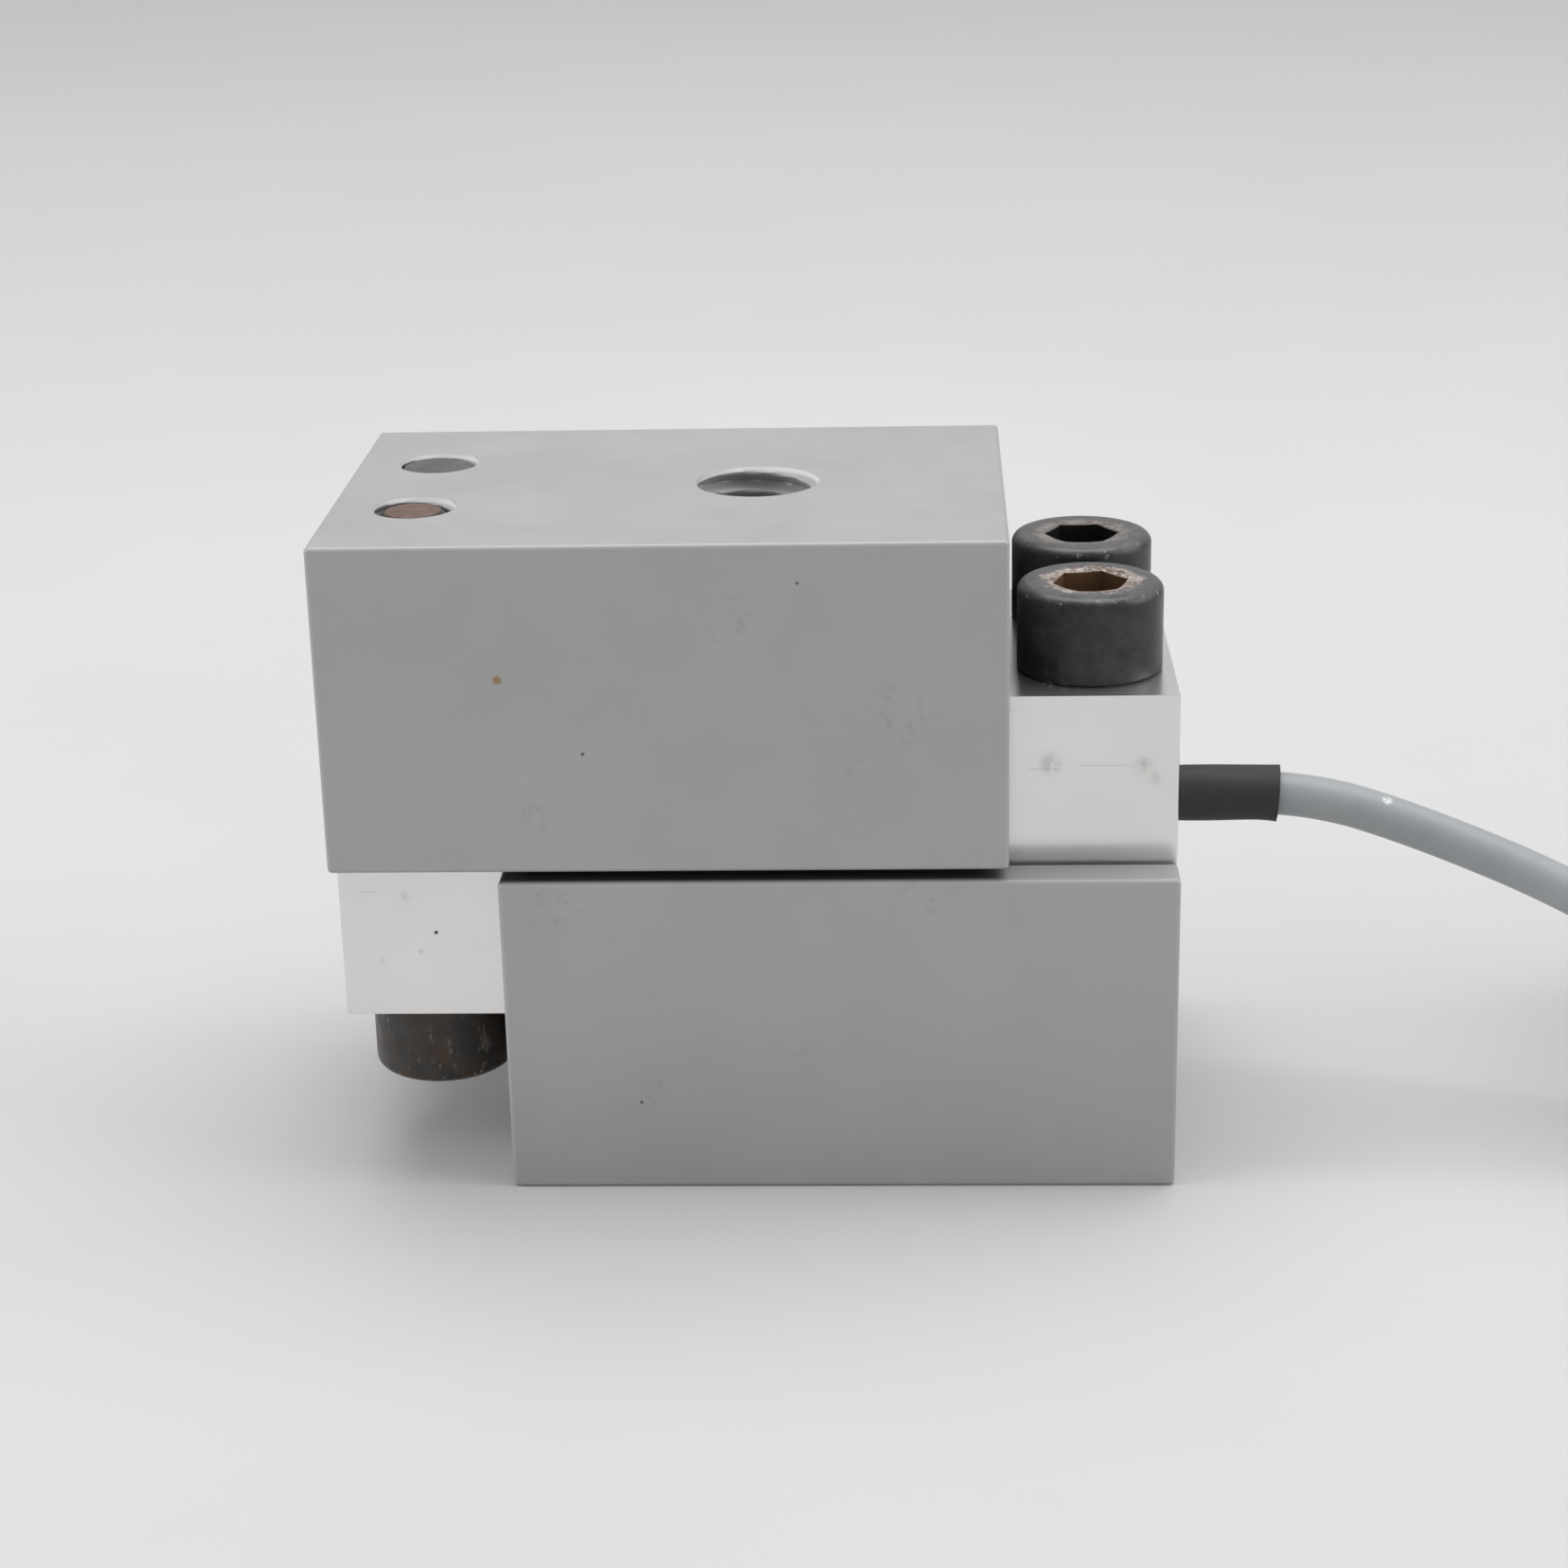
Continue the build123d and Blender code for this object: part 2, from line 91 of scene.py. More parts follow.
# each core's angle round the cable where it leaves it, and how far it fans out, in millimetres
CORES = {
    "lead_core_red": (18, 7.5),
    "lead_core_green": (-54, 3.6),
    "lead_core_white": (90, 0.2),
    "lead_core_black": (162, -7.2),
    "shield_pigtail": (-126, -3.4),
}
CORE_TINTS = {
    "lead_core_red": ((0.42, 0.02, 0.015, 1), (0.5, 0.03, 0.02, 1)),
    "lead_core_green": ((0.015, 0.16, 0.04, 1), (0.025, 0.2, 0.05, 1)),
    "lead_core_white": ((0.66, 0.66, 0.63, 1), (0.72, 0.72, 0.7, 1)),
    "lead_core_black": ((0.014, 0.014, 0.015, 1), (0.022, 0.022, 0.023, 1)),
}

BEAM_LOW, BEAM_HIGH = [Vector(c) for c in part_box("load_cell_beam")]
LOWER_LOW, LOWER_HIGH = [Vector(c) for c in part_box("lower_block")]
UPPER_LOW, UPPER_HIGH = [Vector(c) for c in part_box("upper_block")]
COIL_LOW, COIL_HIGH = [Vector(c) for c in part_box("cable_coil")]
TOTAL_HEIGHT = UPPER_HIGH.z
AXIS_Z = (BEAM_LOW.z + BEAM_HIGH.z) / 2

# ---- where the beam bends, between its two clamped ends ----
BEND_PLACES = [x * MM for x in range(-20, 21, 5)]

# ---- marks on the fronts, as x, z and reach in millimetres ----
# then how strong a smudge is, or a speck's colour
UPPER_SMUDGES = [
    (-1.5, 53.5, 4.0, 0.45),
    (13.0, 45.0, 5.5, 0.4),
    (-19.0, 36.0, 3.0, 0.4),
    (9.0, 40.0, 3.0, 0.3),
]
UPPER_SPECKS = [
    (-21.5, 48.6, 0.5, (0.30, 0.22, 0.12, 1)),
    (-14.4, 41.8, 0.22, (0.12, 0.11, 0.10, 1)),
    (4.5, 57.0, 0.20, (0.16, 0.15, 0.14, 1)),
]
LOWER_SMUDGES = [
    (-17.5, 27.5, 4.5, 0.35),
    (15.0, 28.0, 4.5, 0.30),
    (-9.5, 9.5, 3.5, 0.28),
    (4.0, 13.0, 3.0, 0.18),
]
LOWER_SPECKS = [(-10.5, 8.5, 0.22, (0.14, 0.12, 0.11, 1))]
PAINTED_SHADE_HEIGHT = 24 * MM                # height up to which the lower block has painted shade, a little darker towards the floor
BEAM_SMUDGES = [
    (26.2, 39.0, 1.6, 0.45),
    (34.3, 38.8, 1.3, 0.4),
    (35.4, 37.6, 1.0, 0.25),
    (-31.5, 26.8, 0.7, 0.3),
    (-30.4, 21.4, 0.4, 0.35),
    (-34.0, 20.5, 0.5, 0.25),
]
BEAM_SPECK = (-28.9 * MM, BEAM_LOW.y, 23.3 * MM)
BEAM_SCRATCHES = [              # where each starts and ends along x, and its height
    (24.0, 27.2, 38.5),
    (28.3, 33.6, 38.8),
    (-35.6, -33.9, 27.3),
]

# ---- the camera; its turns are in radians ----
SENSOR, LENS = 36.0, 72.74
CAMERA_PLACE = (0.01506, -0.2790, 0.13241)
CAMERA_TURN, CAMERA_DOWN, CAMERA_ROLL = 0.0467, 0.3473, -0.0232

# ---- the cable's route, in millimetres, with the coil worked out between its two ends ----
LEAD_IN = [
    (27.5, 0, 30.25),
    (39.5, 0, 30.2),
    (51.0, -0.2, 30.2),
    (61.0, -2.2, 27.5),
    (75.0, -6.6, 22.6),
    (87.0, -12.3, 16.2),
    (97.5, -19.0, 12.2),
    (107.0, -23.9, 10.4),
]
TAIL = [
    (125.0, -26.4, 3.9),
    (133.5, -23.6, 2.1),
    (141.0, -18.0, 2.0),
    (147.0, -12.0, 2.0),
]
COIL_RADIUS = 23.0 * MM
COIL_MIDDLE = Vector(((COIL_LOW.x + COIL_HIGH.x) / 2, 0, (COIL_LOW.z + COIL_HIGH.z) / 2))
COIL_START = -90.0              # degrees round the coil where the lead-in joins it
COIL_TURNS = 6
POINTS_A_TURN = 16
CROSSING_HALF = 20.0            # degrees over which a strand moves half way to its next place


# ---- mesh helpers ----
def linked(name, data):
    """A new object in the scene, with its mesh, curve, light or camera."""
    made = bpy.data.objects.new(name, data)
    bpy.context.scene.collection.objects.link(made)
    return made


def mesh_object(name, vertices, faces, material=None):
    """A new mesh object in the scene."""
    mesh = bpy.data.meshes.new(name)
    mesh.from_pydata([tuple(v) for v in vertices], [], faces)
    mesh.validate()
    if material:
        mesh.materials.append(material)
    return linked(name, mesh)


def box_between(name, low, high):
    """A box from its low corner to its high corner."""
    across, deep, tall = zip(low, high)
    corners = [(x, y, z) for x in across for y in deep for z in tall]
    faces = [(0, 1, 3, 2), (4, 6, 7, 5), (0, 4, 5, 1), (2, 3, 7, 6), (0, 2, 6, 4), (1, 5, 7, 3)]
    return mesh_object(name, corners, faces)


def rings_object(name, rings, material=None, closed=False):
    """A skin over rings of points, capped at both ends unless it closes on itself."""
    count = len(rings[0])
    vertices = [p for ring in rings for p in ring]
    faces = []
    spans = len(rings) if closed else len(rings) - 1
    for i in range(spans):
        a, b = i * count, (i + 1) % len(rings) * count
        for j in range(count):
            k = (j + 1) % count
            faces.append((a + j, a + k, b + k, b + j))
    if not closed:
        faces.append(tuple(reversed(range(count))))
        faces.append(tuple(range(len(vertices) - count, len(vertices))))
    return mesh_object(name, vertices, faces, material)


def ring_of(radius, z, segments=48, turned=0.0):
    """A flat ring of points about Z."""
    angles = (math.tau * i / segments + turned for i in range(segments))
    return [(radius * math.cos(a), radius * math.sin(a), z) for a in angles]


def turned_profile(name, profile, segments=64):
    """A body turned about Z from (radius, height) points."""
    return rings_object(name, [ring_of(radius, z, segments) for radius, z in profile])


def rod(name, radius, start, end, segments=64):
    """A round cutter between two points."""
    start, end = Vector(start), Vector(end)
    made = turned_profile(name, [(radius, 0), (radius, (end - start).length)], segments)
    turn = (end - start).to_track_quat("Z", "Y").to_matrix().to_4x4()
    made.data.transform(Matrix.Translation(start) @ turn)
    return made


def baked(made):
    """Applies an object's modifiers to its mesh."""
    bpy.context.view_layer.update()
    evaluated = made.evaluated_get(bpy.context.evaluated_depsgraph_get())
    mesh = bpy.data.meshes.new_from_object(evaluated)
    made.modifiers.clear()
    made.data = mesh
    return made


def cut(made, *cutters):
    """Takes the cutters away from an object."""
    for cutter in cutters:
        modifier = made.modifiers.new("cut", "BOOLEAN")
        modifier.operation = "DIFFERENCE"
        modifier.solver = "EXACT"
        modifier.object = cutter
    baked(made)
    for cutter in cutters:
        bpy.data.objects.remove(cutter)
    return made


def bevelled(made, width, segments=2, angle=40.0):
    """Breaks an object's edges."""
    modifier = made.modifiers.new("edges", "BEVEL")
    modifier.width = width
    modifier.segments = segments
    modifier.limit_method = "ANGLE"
    modifier.angle_limit = math.radians(angle)
    return baked(made)


def shaded(made, material=None, angle=32.0):
    """Smooth shading that keeps edges sharper than the angle."""
    mesh = made.data
    mesh.shade_smooth()
    mesh.set_sharp_from_angle(angle=math.radians(angle))
    if material:
        mesh.materials.clear()
        mesh.materials.append(material)
    return made


def true_faces(made):
    """Keeps the large faces' own normals beside their broken edges, so that they mirror straight."""
    made.modifiers.new("normals", "WEIGHTED_NORMAL").keep_sharp = True
    return baked(made)


# ---- screw threads ----
def thread_radius(thread, z, angle, gap=0.0):
    """Radius of a right-hand 60-degree thread's surface at a height and an angle."""
    turns = z / thread["pitch"] + math.radians(thread["start"]) / math.tau - angle / math.tau
    phase = (0.5 + turns) % 1.0
    groove = max(0.0, 1.0 - abs(2.0 * phase - 1.0) * THREAD_FLANKS)
    return thread["minor"] + groove * (thread["major"] - thread["minor"]) - gap


def tapped_bore(name, thread, x, y, low, high, segments=72):
    """A cutter for a tapped hole at (x, y) with its lightly chamfered mouth in the plane z = 0."""
    rows = int((high - low) / thread["pitch"] * BORE_ROWS)
    rings = []
    for row in range(rows + 1):
        z = low + (high - low) * row / rows
        flare = thread["mouth"] - max(0.0, z)
        ring = []
        for i in range(segments):
            angle = math.tau * i / segments
            radius = max(thread_radius(thread, z, angle), flare)
            ring.append((x + radius * math.cos(angle), y + radius * math.sin(angle), z))
        rings.append(ring)
    return rings_object(name, rings)


# ---- material helper ----
class Finish:
    """A material under construction: a Principled shader and the nodes that feed it."""

    def __init__(self, name, metallic=0.0, roughness=0.5):
        self.material = bpy.data.materials.new(name)
        self.material.use_nodes = True
        self.tree = self.material.node_tree
        self.shader = self.tree.nodes["Principled BSDF"]
        self.shader.inputs["Metallic"].default_value = metallic
        self.shader.inputs["Roughness"].default_value = roughness
        self.place = self.add("ShaderNodeTexCoord", {}).outputs["Object"]

    def add(self, kind, inputs, **settings):
        """A new node with its settings and what its inputs are fed with."""
        node = self.tree.nodes.new(kind)
        for key, value in settings.items():
            setattr(node, key, value)
        for key, value in inputs.items():
            self.feed(node.inputs[key], value)
        return node

    def feed(self, socket, value):
        """Sets a socket to a number or links it to another."""
        if isinstance(value, bpy.types.NodeSocket):
            self.tree.links.new(value, socket)
        else:
            socket.default_value = value

    def to(self, name, value):
        """Feeds one of the shader's own inputs."""
        self.feed(self.shader.inputs[name], value)

    def stretched(self, scale):
        """The object's coordinates, scaled unevenly."""
        return self.add("ShaderNodeMapping", {"Vector": self.place, "Scale": scale}).outputs["Vector"]

    def shifted(self, offset):
        """The object's coordinates, moved, so that a pattern differs from one piece to the next."""
        return self.add("ShaderNodeVectorMath", {0: self.place, 1: offset}, operation="ADD").outputs["Vector"]

    def noise(self, scale, detail=4.0, roughness=0.55, vector=None, distortion=0.0):
        """Cloudy noise round 0.5."""
        inputs = {"Vector": vector or self.place, "Scale": scale, "Detail": detail,
                  "Roughness": roughness, "Distortion": distortion}
        return self.add("ShaderNodeTexNoise", inputs).outputs["Fac"]

    def span(self, value, low, high, out_low=0.0, out_high=1.0):
        """Maps low..high smoothly to out_low..out_high."""
        inputs = {"Value": value, "From Min": low, "From Max": high, "To Min": out_low, "To Max": out_high}
        return self.add("ShaderNodeMapRange", inputs, interpolation_type="SMOOTHSTEP").outputs["Result"]

    def math(self, operation, a, b=0.0):
        """Arithmetic on one or two values."""
        return self.add("ShaderNodeMath", {0: a, 1: b}, operation=operation).outputs[0]

    def times(self, a, b):
        """The product of two values."""
        return self.math("MULTIPLY", a, b)

    def off(self, value, level):
        """How far a value is from a level, on either side of it."""
        return self.math("ABSOLUTE", self.math("SUBTRACT", value, level))

    def mix(self, share, a, b):
        """Blends two colours."""
        return self.add("ShaderNodeMix", {"Factor": share, 6: a, 7: b}, data_type="RGBA").outputs[2]

    def split(self):
        """The object's X, Y and Z coordinates."""
        return self.add("ShaderNodeSeparateXYZ", {0: self.place}).outputs

    def near(self, point, reach, fade=0.5):
        """1 within reach of a point of the object, fading to 0 further out."""
        node = self.add("ShaderNodeVectorMath", {0: self.place, 1: point}, operation="DISTANCE")
        return self.span(node.outputs["Value"], reach * fade, reach, 1.0, 0.0)

    def bump(self, height, strength, distance):
        """Adds fine relief, on top of any that is already there."""
        node = self.add("ShaderNodeBump", {"Height": height, "Strength": strength, "Distance": distance})
        last = self.shader.inputs["Normal"]
        if last.is_linked:
            self.feed(node.inputs["Normal"], last.links[0].from_socket)
        self.feed(last, node.outputs["Normal"])


def grey(value, warmth=0.0):
    """A grey colour, a little warm above zero."""
    return (value * (1 + warmth), value, value * (1 - warmth), 1.0)


# ---- materials ----
def marked(f, colour, smudges, specks):
    """Ragged smudges and small round specks on a colour."""
    patchy = f.span(f.noise(1100, 5, 0.65, distortion=0.6), 0.5, 0.66)
    for point, reach, depth in smudges:
        share = f.times(f.near(point, reach, 0.05), patchy)
        colour = f.mix(f.times(share, depth), colour, grey(0.24, 0.03))
    for point, reach, tint in specks:
        colour = f.mix(f.near(point, reach, 0.5), colour, tint)
    return colour


def painted_gap_shade(f, colour, lip):
    """Painted shade on a block's lips, at height lip, along where they face the other block's: it darkens the
    gap between the blocks.
    """
    x, y, z = f.split()
    start, end = UPPER_LOW.x - 1.0 * MM, UPPER_HIGH.x
    front = -LOWER_LOW.y
    level = f.span(f.off(z, lip), 0.05 * MM, 0.2 * MM, 1.0, 0.0)
    behind_edge = f.span(f.math("ABSOLUTE", y), front - 0.8 * MM, front - 0.35 * MM, 1.0, 0.0)
    facing = f.times(f.span(x, start, start + 1.5 * MM), f.span(x, end - 1.5 * MM, end, 1.0, 0.0))
    gap_shade = f.times(f.times(level, behind_edge), facing)
    return f.mix(f.times(gap_shade, 0.9), colour, grey(0.05))


def painted_mouth_glints(f, colour, mouths):
    """Painted highlights on the chamfers of a block's tapped holes, brightest towards the cable's end."""
    place = f.split()
    for point, reach in mouths:
        depth = f.off(place["Z"], point[2])
        below_face = f.span(depth, 0.02 * MM, 0.05 * MM)
        chamfer = f.times(below_face, f.span(depth, 0.3 * MM, 0.4 * MM, 1.0, 0.0))
        chamfer_glint = f.mix(f.span(place["X"], point[0], point[0] + reach), grey(0.43), grey(0.62))
        colour = f.mix(f.times(chamfer, f.near(point, reach, 0.98)), colour, chamfer_glint)
    return colour


def anodised(name, smudges, specks, mouths, lip, shade_height=0.0):
    """Satin grey anodised aluminium: fine etched grain, faint mottling, smudges and specks, with painted
    shade in the gap between the blocks and painted highlights on the chamfers of its holes.

    A block can be given painted shade, darker towards the floor, up to a height above it.
    """
    f = Finish(name, metallic=0.35, roughness=0.5)
    mottle = f.noise(90, 5, 0.6)
    fine = f.noise(2600, 3, 0.6)
    colour = f.mix(f.span(mottle, 0.3, 0.7), grey(0.376, 0.003), grey(0.40))
    colour = marked(f, colour, smudges, specks)
    # painted shade: the block is darker towards the floor
    if shade_height:
        colour = f.mix(f.span(f.split()["Z"], 0.0, shade_height, 0.18, 0.0), colour, grey(0.19))
    # painted shade: a dark band in the gap between the blocks
    colour = painted_gap_shade(f, colour, lip)
    # painted highlights on the chamfers of the tapped holes
    f.to("Base Color", painted_mouth_glints(f, colour, mouths))
    f.to("Roughness", f.span(mottle, 0.3, 0.7, 0.46, 0.54))
    f.bump(fine, 0.12, 0.02 * MM)
    return f.material


def scratched(f, colour, start, end, height):
    """A fine lengthwise scratch, given in millimetres, that fades out at its ends."""
    place = f.split()
    middle, half = (start + end) / 2 * MM, (end - start) / 2 * MM
    across = f.span(f.off(place["Z"], height * MM), 0.03 * MM, 0.08 * MM, 1.0, 0.0)
    along = f.span(f.off(place["X"], middle), half * 2 / 3, half, 1.0, 0.0)
    return f.mix(f.times(f.times(across, along), 0.35), colour, grey(0.35))


def machined(name):
    """Bright milled aluminium with fine lengthwise lines, faint smudges and a few dark marks."""
    f = Finish(name, metallic=0.92, roughness=0.28)
    cloud = f.noise(70, 5, 0.6)
    lines = f.noise(2600, 4, 0.6, f.stretched((0.04, 0.04, 1.0)))
    colour = f.mix(f.span(cloud, 0.3, 0.7), grey(0.765, 0.022), grey(0.815, 0.014))
    colour = f.mix(f.span(lines, 0.66, 0.78), colour, grey(0.72, 0.01))
    front = BEAM_LOW.y
    patchy = f.span(f.noise(1300, 5, 0.65), 0.30, 0.58)
    for x, z, reach, depth in BEAM_SMUDGES:
        share = f.times(f.near((x * MM, front, z * MM), reach * MM, 0.0), patchy)
        colour = f.mix(f.times(share, depth), colour, grey(0.30, 0.01))
    colour = f.mix(f.near(BEAM_SPECK, 0.24 * MM, 0.5), colour, grey(0.08))
    for start, end, height in BEAM_SCRATCHES:
        colour = scratched(f, colour, start, end, height)
    f.to("Base Color", colour)
    f.to("Roughness", f.span(cloud, 0.2, 0.8, 0.2, 0.27))
    return f.material


def scuffed_black(f, z, shifted, blotch, wear):
    """Black steel with brown stains and scuffs by its wear, and bright flecks on its edges."""
    colour = f.mix(f.span(blotch, 0.35, 0.7), grey(0.022, -0.04), grey(0.045, -0.02))
    stain = f.span(f.noise(260, 5, 0.6, shifted), 0.42, 0.6)
    colour = f.mix(f.times(stain, 0.8 * wear), colour, (0.062, 0.036, 0.020, 1))
    streak = f.span(f.noise(700, 5, 0.7, f.stretched((1, 1, 0.45))), 0.56, 0.64)
    colour = f.mix(f.times(streak, 0.7 * wear), colour, (0.17, 0.155, 0.13, 1))
    top_edge = f.span(z, HEAD_HEIGHT - 1.0 * MM, HEAD_HEIGHT - 0.5 * MM)
    edges = f.math("ADD", top_edge, f.span(z, 0.5 * MM, 0.1 * MM))
    flecks = f.times(f.span(f.noise(1300, 3, 0.7, shifted), 0.61, 0.68), edges)
    return f.mix(f.times(flecks, 0.55), colour, grey(0.6, 0.03))


def sheened_and_worn_top(f, colour, z, radius, shifted, blotch, grain, ring):
    """A head's top, painted lighter as a painted sheen, with a ragged ring of bare and rusty metal round its
    socket.
    """
    top = f.span(z, HEAD_HEIGHT - 0.6 * MM, HEAD_HEIGHT - 0.12 * MM)
    # painted sheen: the top face is painted lighter
    painted_sheen = f.mix(f.span(blotch, 0.35, 0.65), grey(0.07), (0.145, 0.138, 0.14, 1))
    colour = f.mix(f.times(top, 0.85), colour, painted_sheen)
    ragged = f.math("ADD", radius, f.times(f.math("SUBTRACT", blotch, 0.5), 4.5 * MM))
    lead_in = f.times(top, f.span(ragged, 4.7 * MM, 3.9 * MM))
    patch = f.noise(640, 4, 0.7, shifted)
    rust = f.mix(f.span(patch, 0.42, 0.56), (0.15, 0.10, 0.07, 1), (0.46, 0.38, 0.33, 1))
    rust = f.mix(f.span(grain, 0.56, 0.64), rust, (0.78, 0.74, 0.70, 1))
    return f.mix(f.times(lead_in, ring), colour, rust)


def tinted_socket(f, colour, z, radius, tint):
    """A head's socket in its own colour."""
    below_top = f.span(z, HEAD_HEIGHT - 0.1 * MM, HEAD_HEIGHT - 0.22 * MM)
    inside = f.times(f.span(radius, 3.75 * MM, 3.55 * MM), f.span(z, 0, 1 * MM))
    return f.mix(f.times(inside, below_top), colour, tint)


def tinted_end(f, colour, z, radius, blotch, tint, reach):
    """The flat on a screw's end in its own colour, out to a radius."""
    last = f.span(z, -SCREW_LENGTH + 0.62 * MM, -SCREW_LENGTH + 0.52 * MM)
    flat = f.times(last, f.span(radius, reach, reach - 0.15 * MM))
    darker = [0.8 * channel for channel in tint[:3]] + [1]
    return f.mix(flat, colour, f.mix(f.span(blotch, 0.35, 0.65), tint, darker))


def black_oxide(name, socket_tint, end_tint, end_reach, wear, ring, seed):
    """Blackened steel with a painted sheen on the head's top, worn bright and rusty round the socket and
    scuffed on its edges.

    Wear is how stained and scuffed the steel is, ring how strong the rust round the socket is.
    """
    f = Finish(name, metallic=0.35, roughness=0.38)
    x, y, z = f.split()
    radius = f.math("SQRT", f.math("ADD", f.times(x, x), f.times(y, y)))
    shifted = f.shifted((seed, seed * 0.7, seed * 0.3))
    blotch = f.noise(420, 6, 0.7, shifted)
    grain = f.noise(3200, 3, 0.6)
    colour = scuffed_black(f, z, shifted, blotch, wear)
    colour = sheened_and_worn_top(f, colour, z, radius, shifted, blotch, grain, ring)
    colour = tinted_socket(f, colour, z, radius, socket_tint)
    f.to("Base Color", tinted_end(f, colour, z, radius, blotch, end_tint, end_reach))
    f.to("Roughness", f.span(blotch, 0.3, 0.7, 0.3, 0.5))
    f.bump(blotch, 0.15, 0.08 * MM)
    f.bump(grain, 0.1, 0.02 * MM)
    return f.material


def sheathing(name):
    """Light blue-grey PVC, semi-gloss, with a faint orange-peel surface and one painted highlight, a small
    white spot.
    """
    f = Finish(name, roughness=0.38)
    cloud = f.noise(160, 5, 0.6)
    colour = f.mix(f.span(cloud, 0.35, 0.7), (0.308, 0.327, 0.337, 1), (0.342, 0.358, 0.366, 1))
    patchy = f.span(f.noise(1500, 4, 0.6), 0.4, 0.5)
    # a painted highlight: a small white spot near the top of the jacket
    jacket_glint = f.times(f.near(CABLE_GLINT, 0.65 * MM, 0.3), f.times(patchy, 0.7))
    f.to("Base Color", f.mix(jacket_glint, colour, grey(0.95)))
    f.to("Roughness", f.span(cloud, 0.3, 0.7, 0.38, 0.5))
    f.bump(f.noise(1500, 3, 0.5), 0.1, 0.04 * MM)
    return f.material


def shrink_sleeve(name):
    """Matt charcoal heat-shrink, a little dusty."""
    f = Finish(name, roughness=0.62)
    cloud = f.noise(500, 5, 0.65)
    f.to("Base Color", f.mix(f.span(cloud, 0.4, 0.75), grey(0.019, -0.06), grey(0.033, -0.04)))
    f.to("Roughness", f.span(cloud, 0.3, 0.7, 0.55, 0.7))
    f.bump(f.noise(1800, 4, 0.6, f.stretched((0.4, 1, 1))), 0.25, 0.05 * MM)
    return f.material


def plastic(name, dark, light, roughness=0.45, grain=2500):
    """A moulded or extruded plastic with a little cloudiness and a fine grain."""
    f = Finish(name, roughness=roughness)
    cloud = f.noise(300, 4, 0.6)
    f.to("Base Color", f.mix(f.span(cloud, 0.3, 0.7), dark, light))
    f.to("Roughness", f.span(cloud, 0.3, 0.7, roughness - 0.05, roughness + 0.08))
    f.bump(f.noise(grain, 3, 0.5), 0.1, 0.03 * MM)
    return f.material


def bare_metal(name, dark, light, roughness=0.35, stretch=(1, 1, 1)):
    """Plain metal with a fine directional texture."""
    f = Finish(name, metallic=1.0, roughness=roughness)
    grain = f.noise(2200, 4, 0.6, f.stretched(stretch))
    f.to("Base Color", f.mix(f.span(grain, 0.3, 0.7), dark, light))
    f.to("Roughness", f.span(grain, 0.3, 0.7, roughness - 0.08, roughness + 0.1))
    f.bump(grain, 0.2, 0.03 * MM)
    return f.material


def floor_finish():
    """Pale paper-like ground with very faint marks, and painted shade that makes it a little darker further
    back.
    """
    f = Finish("pale_floor", roughness=0.75)
    colour = f.mix(f.span(f.noise(6, 5, 0.6), 0.3, 0.7), grey(0.545, 0.006), grey(0.57, 0.004))
    # painted shade: the floor gets darker further back
    further_back = f.span(f.split()["Y"], 0.15, 0.45, 0.0, 0.5)
    f.to("Base Color", f.mix(further_back, colour, grey(0.46, 0.004)))
    return f.material


# ---- camera, lights and floor ----
def make_camera():
    """A short telephoto a little above the module, looking slightly down on its front."""
    data = bpy.data.cameras.new("main_camera")
    data.sensor_width = SENSOR
    data.lens = LENS
    data.clip_start = 0.01
    data.clip_end = 30.0
    camera = linked("main_camera", data)
    turn = Matrix.Rotation(CAMERA_TURN, 4, "Z")
    tilt = Matrix.Rotation(math.pi / 2 - CAMERA_DOWN, 4, "X")
    roll = Matrix.Rotation(CAMERA_ROLL, 4, "Z")
    camera.matrix_world = Matrix.Translation(CAMERA_PLACE) @ turn @ tilt @ roll
    bpy.context.scene.camera = camera


def softbox(name, place, aim, size, power):
    """A rectangular area light that faces a point."""
    data = bpy.data.lights.new(name, "AREA")
    data.shape = "RECTANGLE"
    data.size, data.size_y = size
    data.energy = power
    light = linked(name, data)
    light.location = place
    light.rotation_euler = (Vector(aim) - Vector(place)).to_track_quat("-Z", "Y").to_euler()


def broad_light(name, place, strength):
    """Even light from a wide, far-off source, with soft shadows."""
    data = bpy.data.lights.new(name, "SUN")
    data.energy = strength
    data.angle = math.radians(38)
    light = linked(name, data)
    light.rotation_euler = (-Vector(place)).to_track_quat("-Z", "Y").to_euler()


def make_stage():
    """The floor, the soft light and the pale surroundings."""
    floor = box_between("floor", (-4, -4, -0.02), (4, 4, 0))
    floor.data.materials.append(floor_finish())
    softbox("overhead", place=(0.05, 0.2, 0.95), aim=(0, 0, 0.03), size=(1.0, 0.7), power=6.0)
    broad_light("left", place=(-0.9, -0.15, 0.36), strength=1.2)
    broad_light("right", place=(0.95, -0.05, 0.40), strength=1.05)
    world = bpy.data.worlds.new("pale_room")
    world.use_nodes = True
    background = world.node_tree.nodes["Background"]
    background.inputs["Color"].default_value = (0.93, 0.935, 0.95, 1)
    background.inputs["Strength"].default_value = 0.64
    bpy.context.scene.world = world
    bpy.context.scene.view_settings.view_transform = "Standard"


# ---- the cable ----
def bundle_places():
    """Places in the bundle, as (outward, upward): six round one, in the order they are laid."""
    across, side = CABLE_RADIUS, 2 * CABLE_RADIUS
    up = math.sqrt(3) * CABLE_RADIUS
    return [(across, up), (-across, up), (-side, 0), (-across, -up), (across, -up), (0, 0), (side, 0)]


def eased(share):
    """A share from 0 to 1 with a soft start and end."""
    share = min(max(share, 0.0), 1.0)
    return share * share * (3 - 2 * share)


